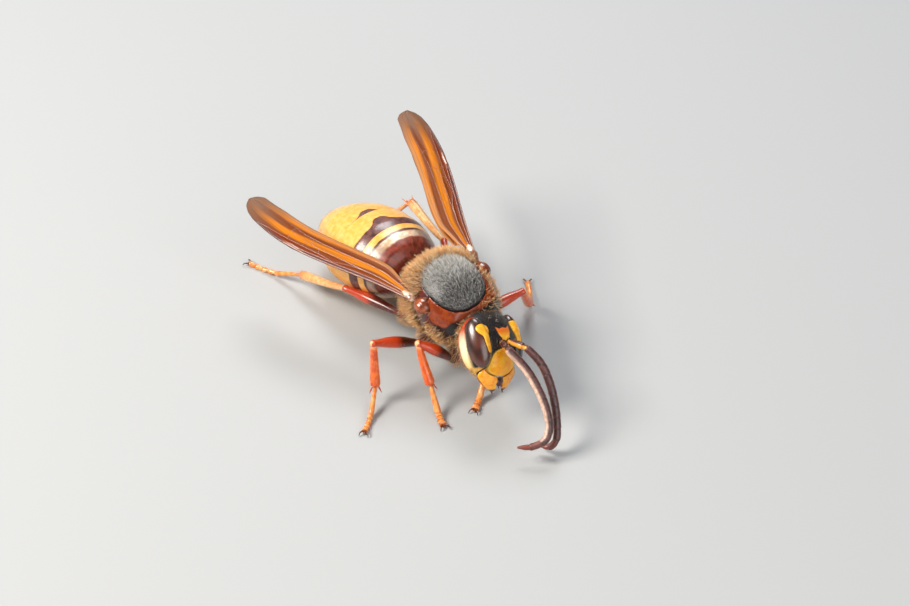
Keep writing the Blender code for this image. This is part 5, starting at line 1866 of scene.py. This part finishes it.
base, spots, free = head_base()
front = ramp(spots[:, 1] + np.maximum(spots[:, 2] - 1.8, 0), 0.0, 0.5)
head_map = round_map(base, HEAD_CENTRE, HEAD_UP, HEAD_LEFT)
grow_coat("brow_coat", base, lie_along(base, HEAD_UP * 0.8 + HEAD_FRONT * 0.3), free * front,
          np.full(len(spots), 1.0), head_map, dark_hair, "head_shell", (60.0, 0.3, 0.35, 0.4, 3))
base, spots, free = head_base()
rear = ramp(-spots[:, 1], 0.55, 1.0)
cheek = ramp(-spots[:, 2], 1.2, 1.7)
grow_coat("cheek_coat", base, lie_along(base, -HEAD_FRONT - HEAD_UP * 0.5),
          free * (1 - front) * (0.14 + 0.86 * np.maximum(rear, cheek)), 0.5 + 0.5 * rear, head_map,
          golden_hair, "head_shell", (60.0, 0.6, 0.4, 0.35, 5))


# %% The coats of the abdomen and the legs
rings = [gaster_ring(distance, 1.0, 80, -0.03) for distance in np.linspace(0.3, 13.3, 110)]
base = skin_mesh("abdomen_base", ring_skin(np.array(rings)))
reach = (points_of(base) - GASTER_START) @ GASTER_AIM
first = 1 - ramp(reach, 1.2, 2.6)
last = ramp(reach, 11.5, 13.0)
crest = 1 / (1 + (turn_of(points_of(base)) / 12)**4)
bands = ((-1.0, 1.95), (2.6, 2.9), (3.5, 4.5 + crest * 0.85), (6.6, 6.75 + crest * 0.55))
put_values(base, "dark", sum((reach > start) & (reach < end) for start, end in bands))
abdomen_map = round_map(base, GASTER_START + GASTER_AIM * 6.8, GASTER_UP, np.array((1.0, 0.0, 0.0)))
grow_coat("abdomen_coat", base, lie_along(base, GASTER_AIM), 0.4 + 0.6 * np.maximum(first, last),
          0.6 + 1.0 * first + 0.9 * last, abdomen_map, fine_hair, "yellow_shell",
          (30.0, 0.36, 0.7, 0.18, 6))


def limbs_base(stretches):
    """The skins of several limbs as one, with the lie of the hair and a strip of the map for each."""
    columns = 20
    body = joined([swell(start, end, rows, 0.0, columns) for start, end, rows in stretches])
    data = skin_mesh("limbs_base", body)
    size = len(data.vertices) // len(stretches)
    lie = np.concatenate([np.tile(end - start, (size, 1)) for start, end, rows in stretches])
    order = np.arange(len(data.vertices))
    last = LIMB_RINGS - 1
    strip = 0.01 + 0.98 * (order // size + (order % size % columns) / (columns + 1)) / len(stretches)
    along = 0.01 + 0.98 * np.minimum(order % size // columns, last) / last
    return data, lie_along(data, lie), np.stack([strip, along, along * 0], 1)


hips, shafts, feet = [], [], []
for hip, turn, knee, ankle, middle, toe in leg_points:
    hips.append((hip, turn, COXA_ROWS))
    shafts += [(turn + unit(knee - turn) * RING_LENGTH, knee, FEMUR_ROWS), (knee, ankle, TIBIA_ROWS)]
    feet += [(ankle, middle, FOOT_ROWS), (middle, toe, FOOT_ROWS)]
for name, stretches, finish, slot, values in (
        ("hip_coat", hips, golden_hair, "red_shell", (75.0, 0.6, 0.4, 0.35, 7)),
        ("leg_coat", shafts, fine_hair, "orange_limb", (34.0, 0.26, 0.6, 0.2, 8)),
        ("foot_coat", feet, fine_hair, "orange_limb", (60.0, 0.16, 0.55, 0.2, 2))):
    base, lie, strips = limbs_base(stretches)
    even = np.ones(len(base.vertices))
    grow_coat(name, base, lie, even, even, strips, finish, slot, values)
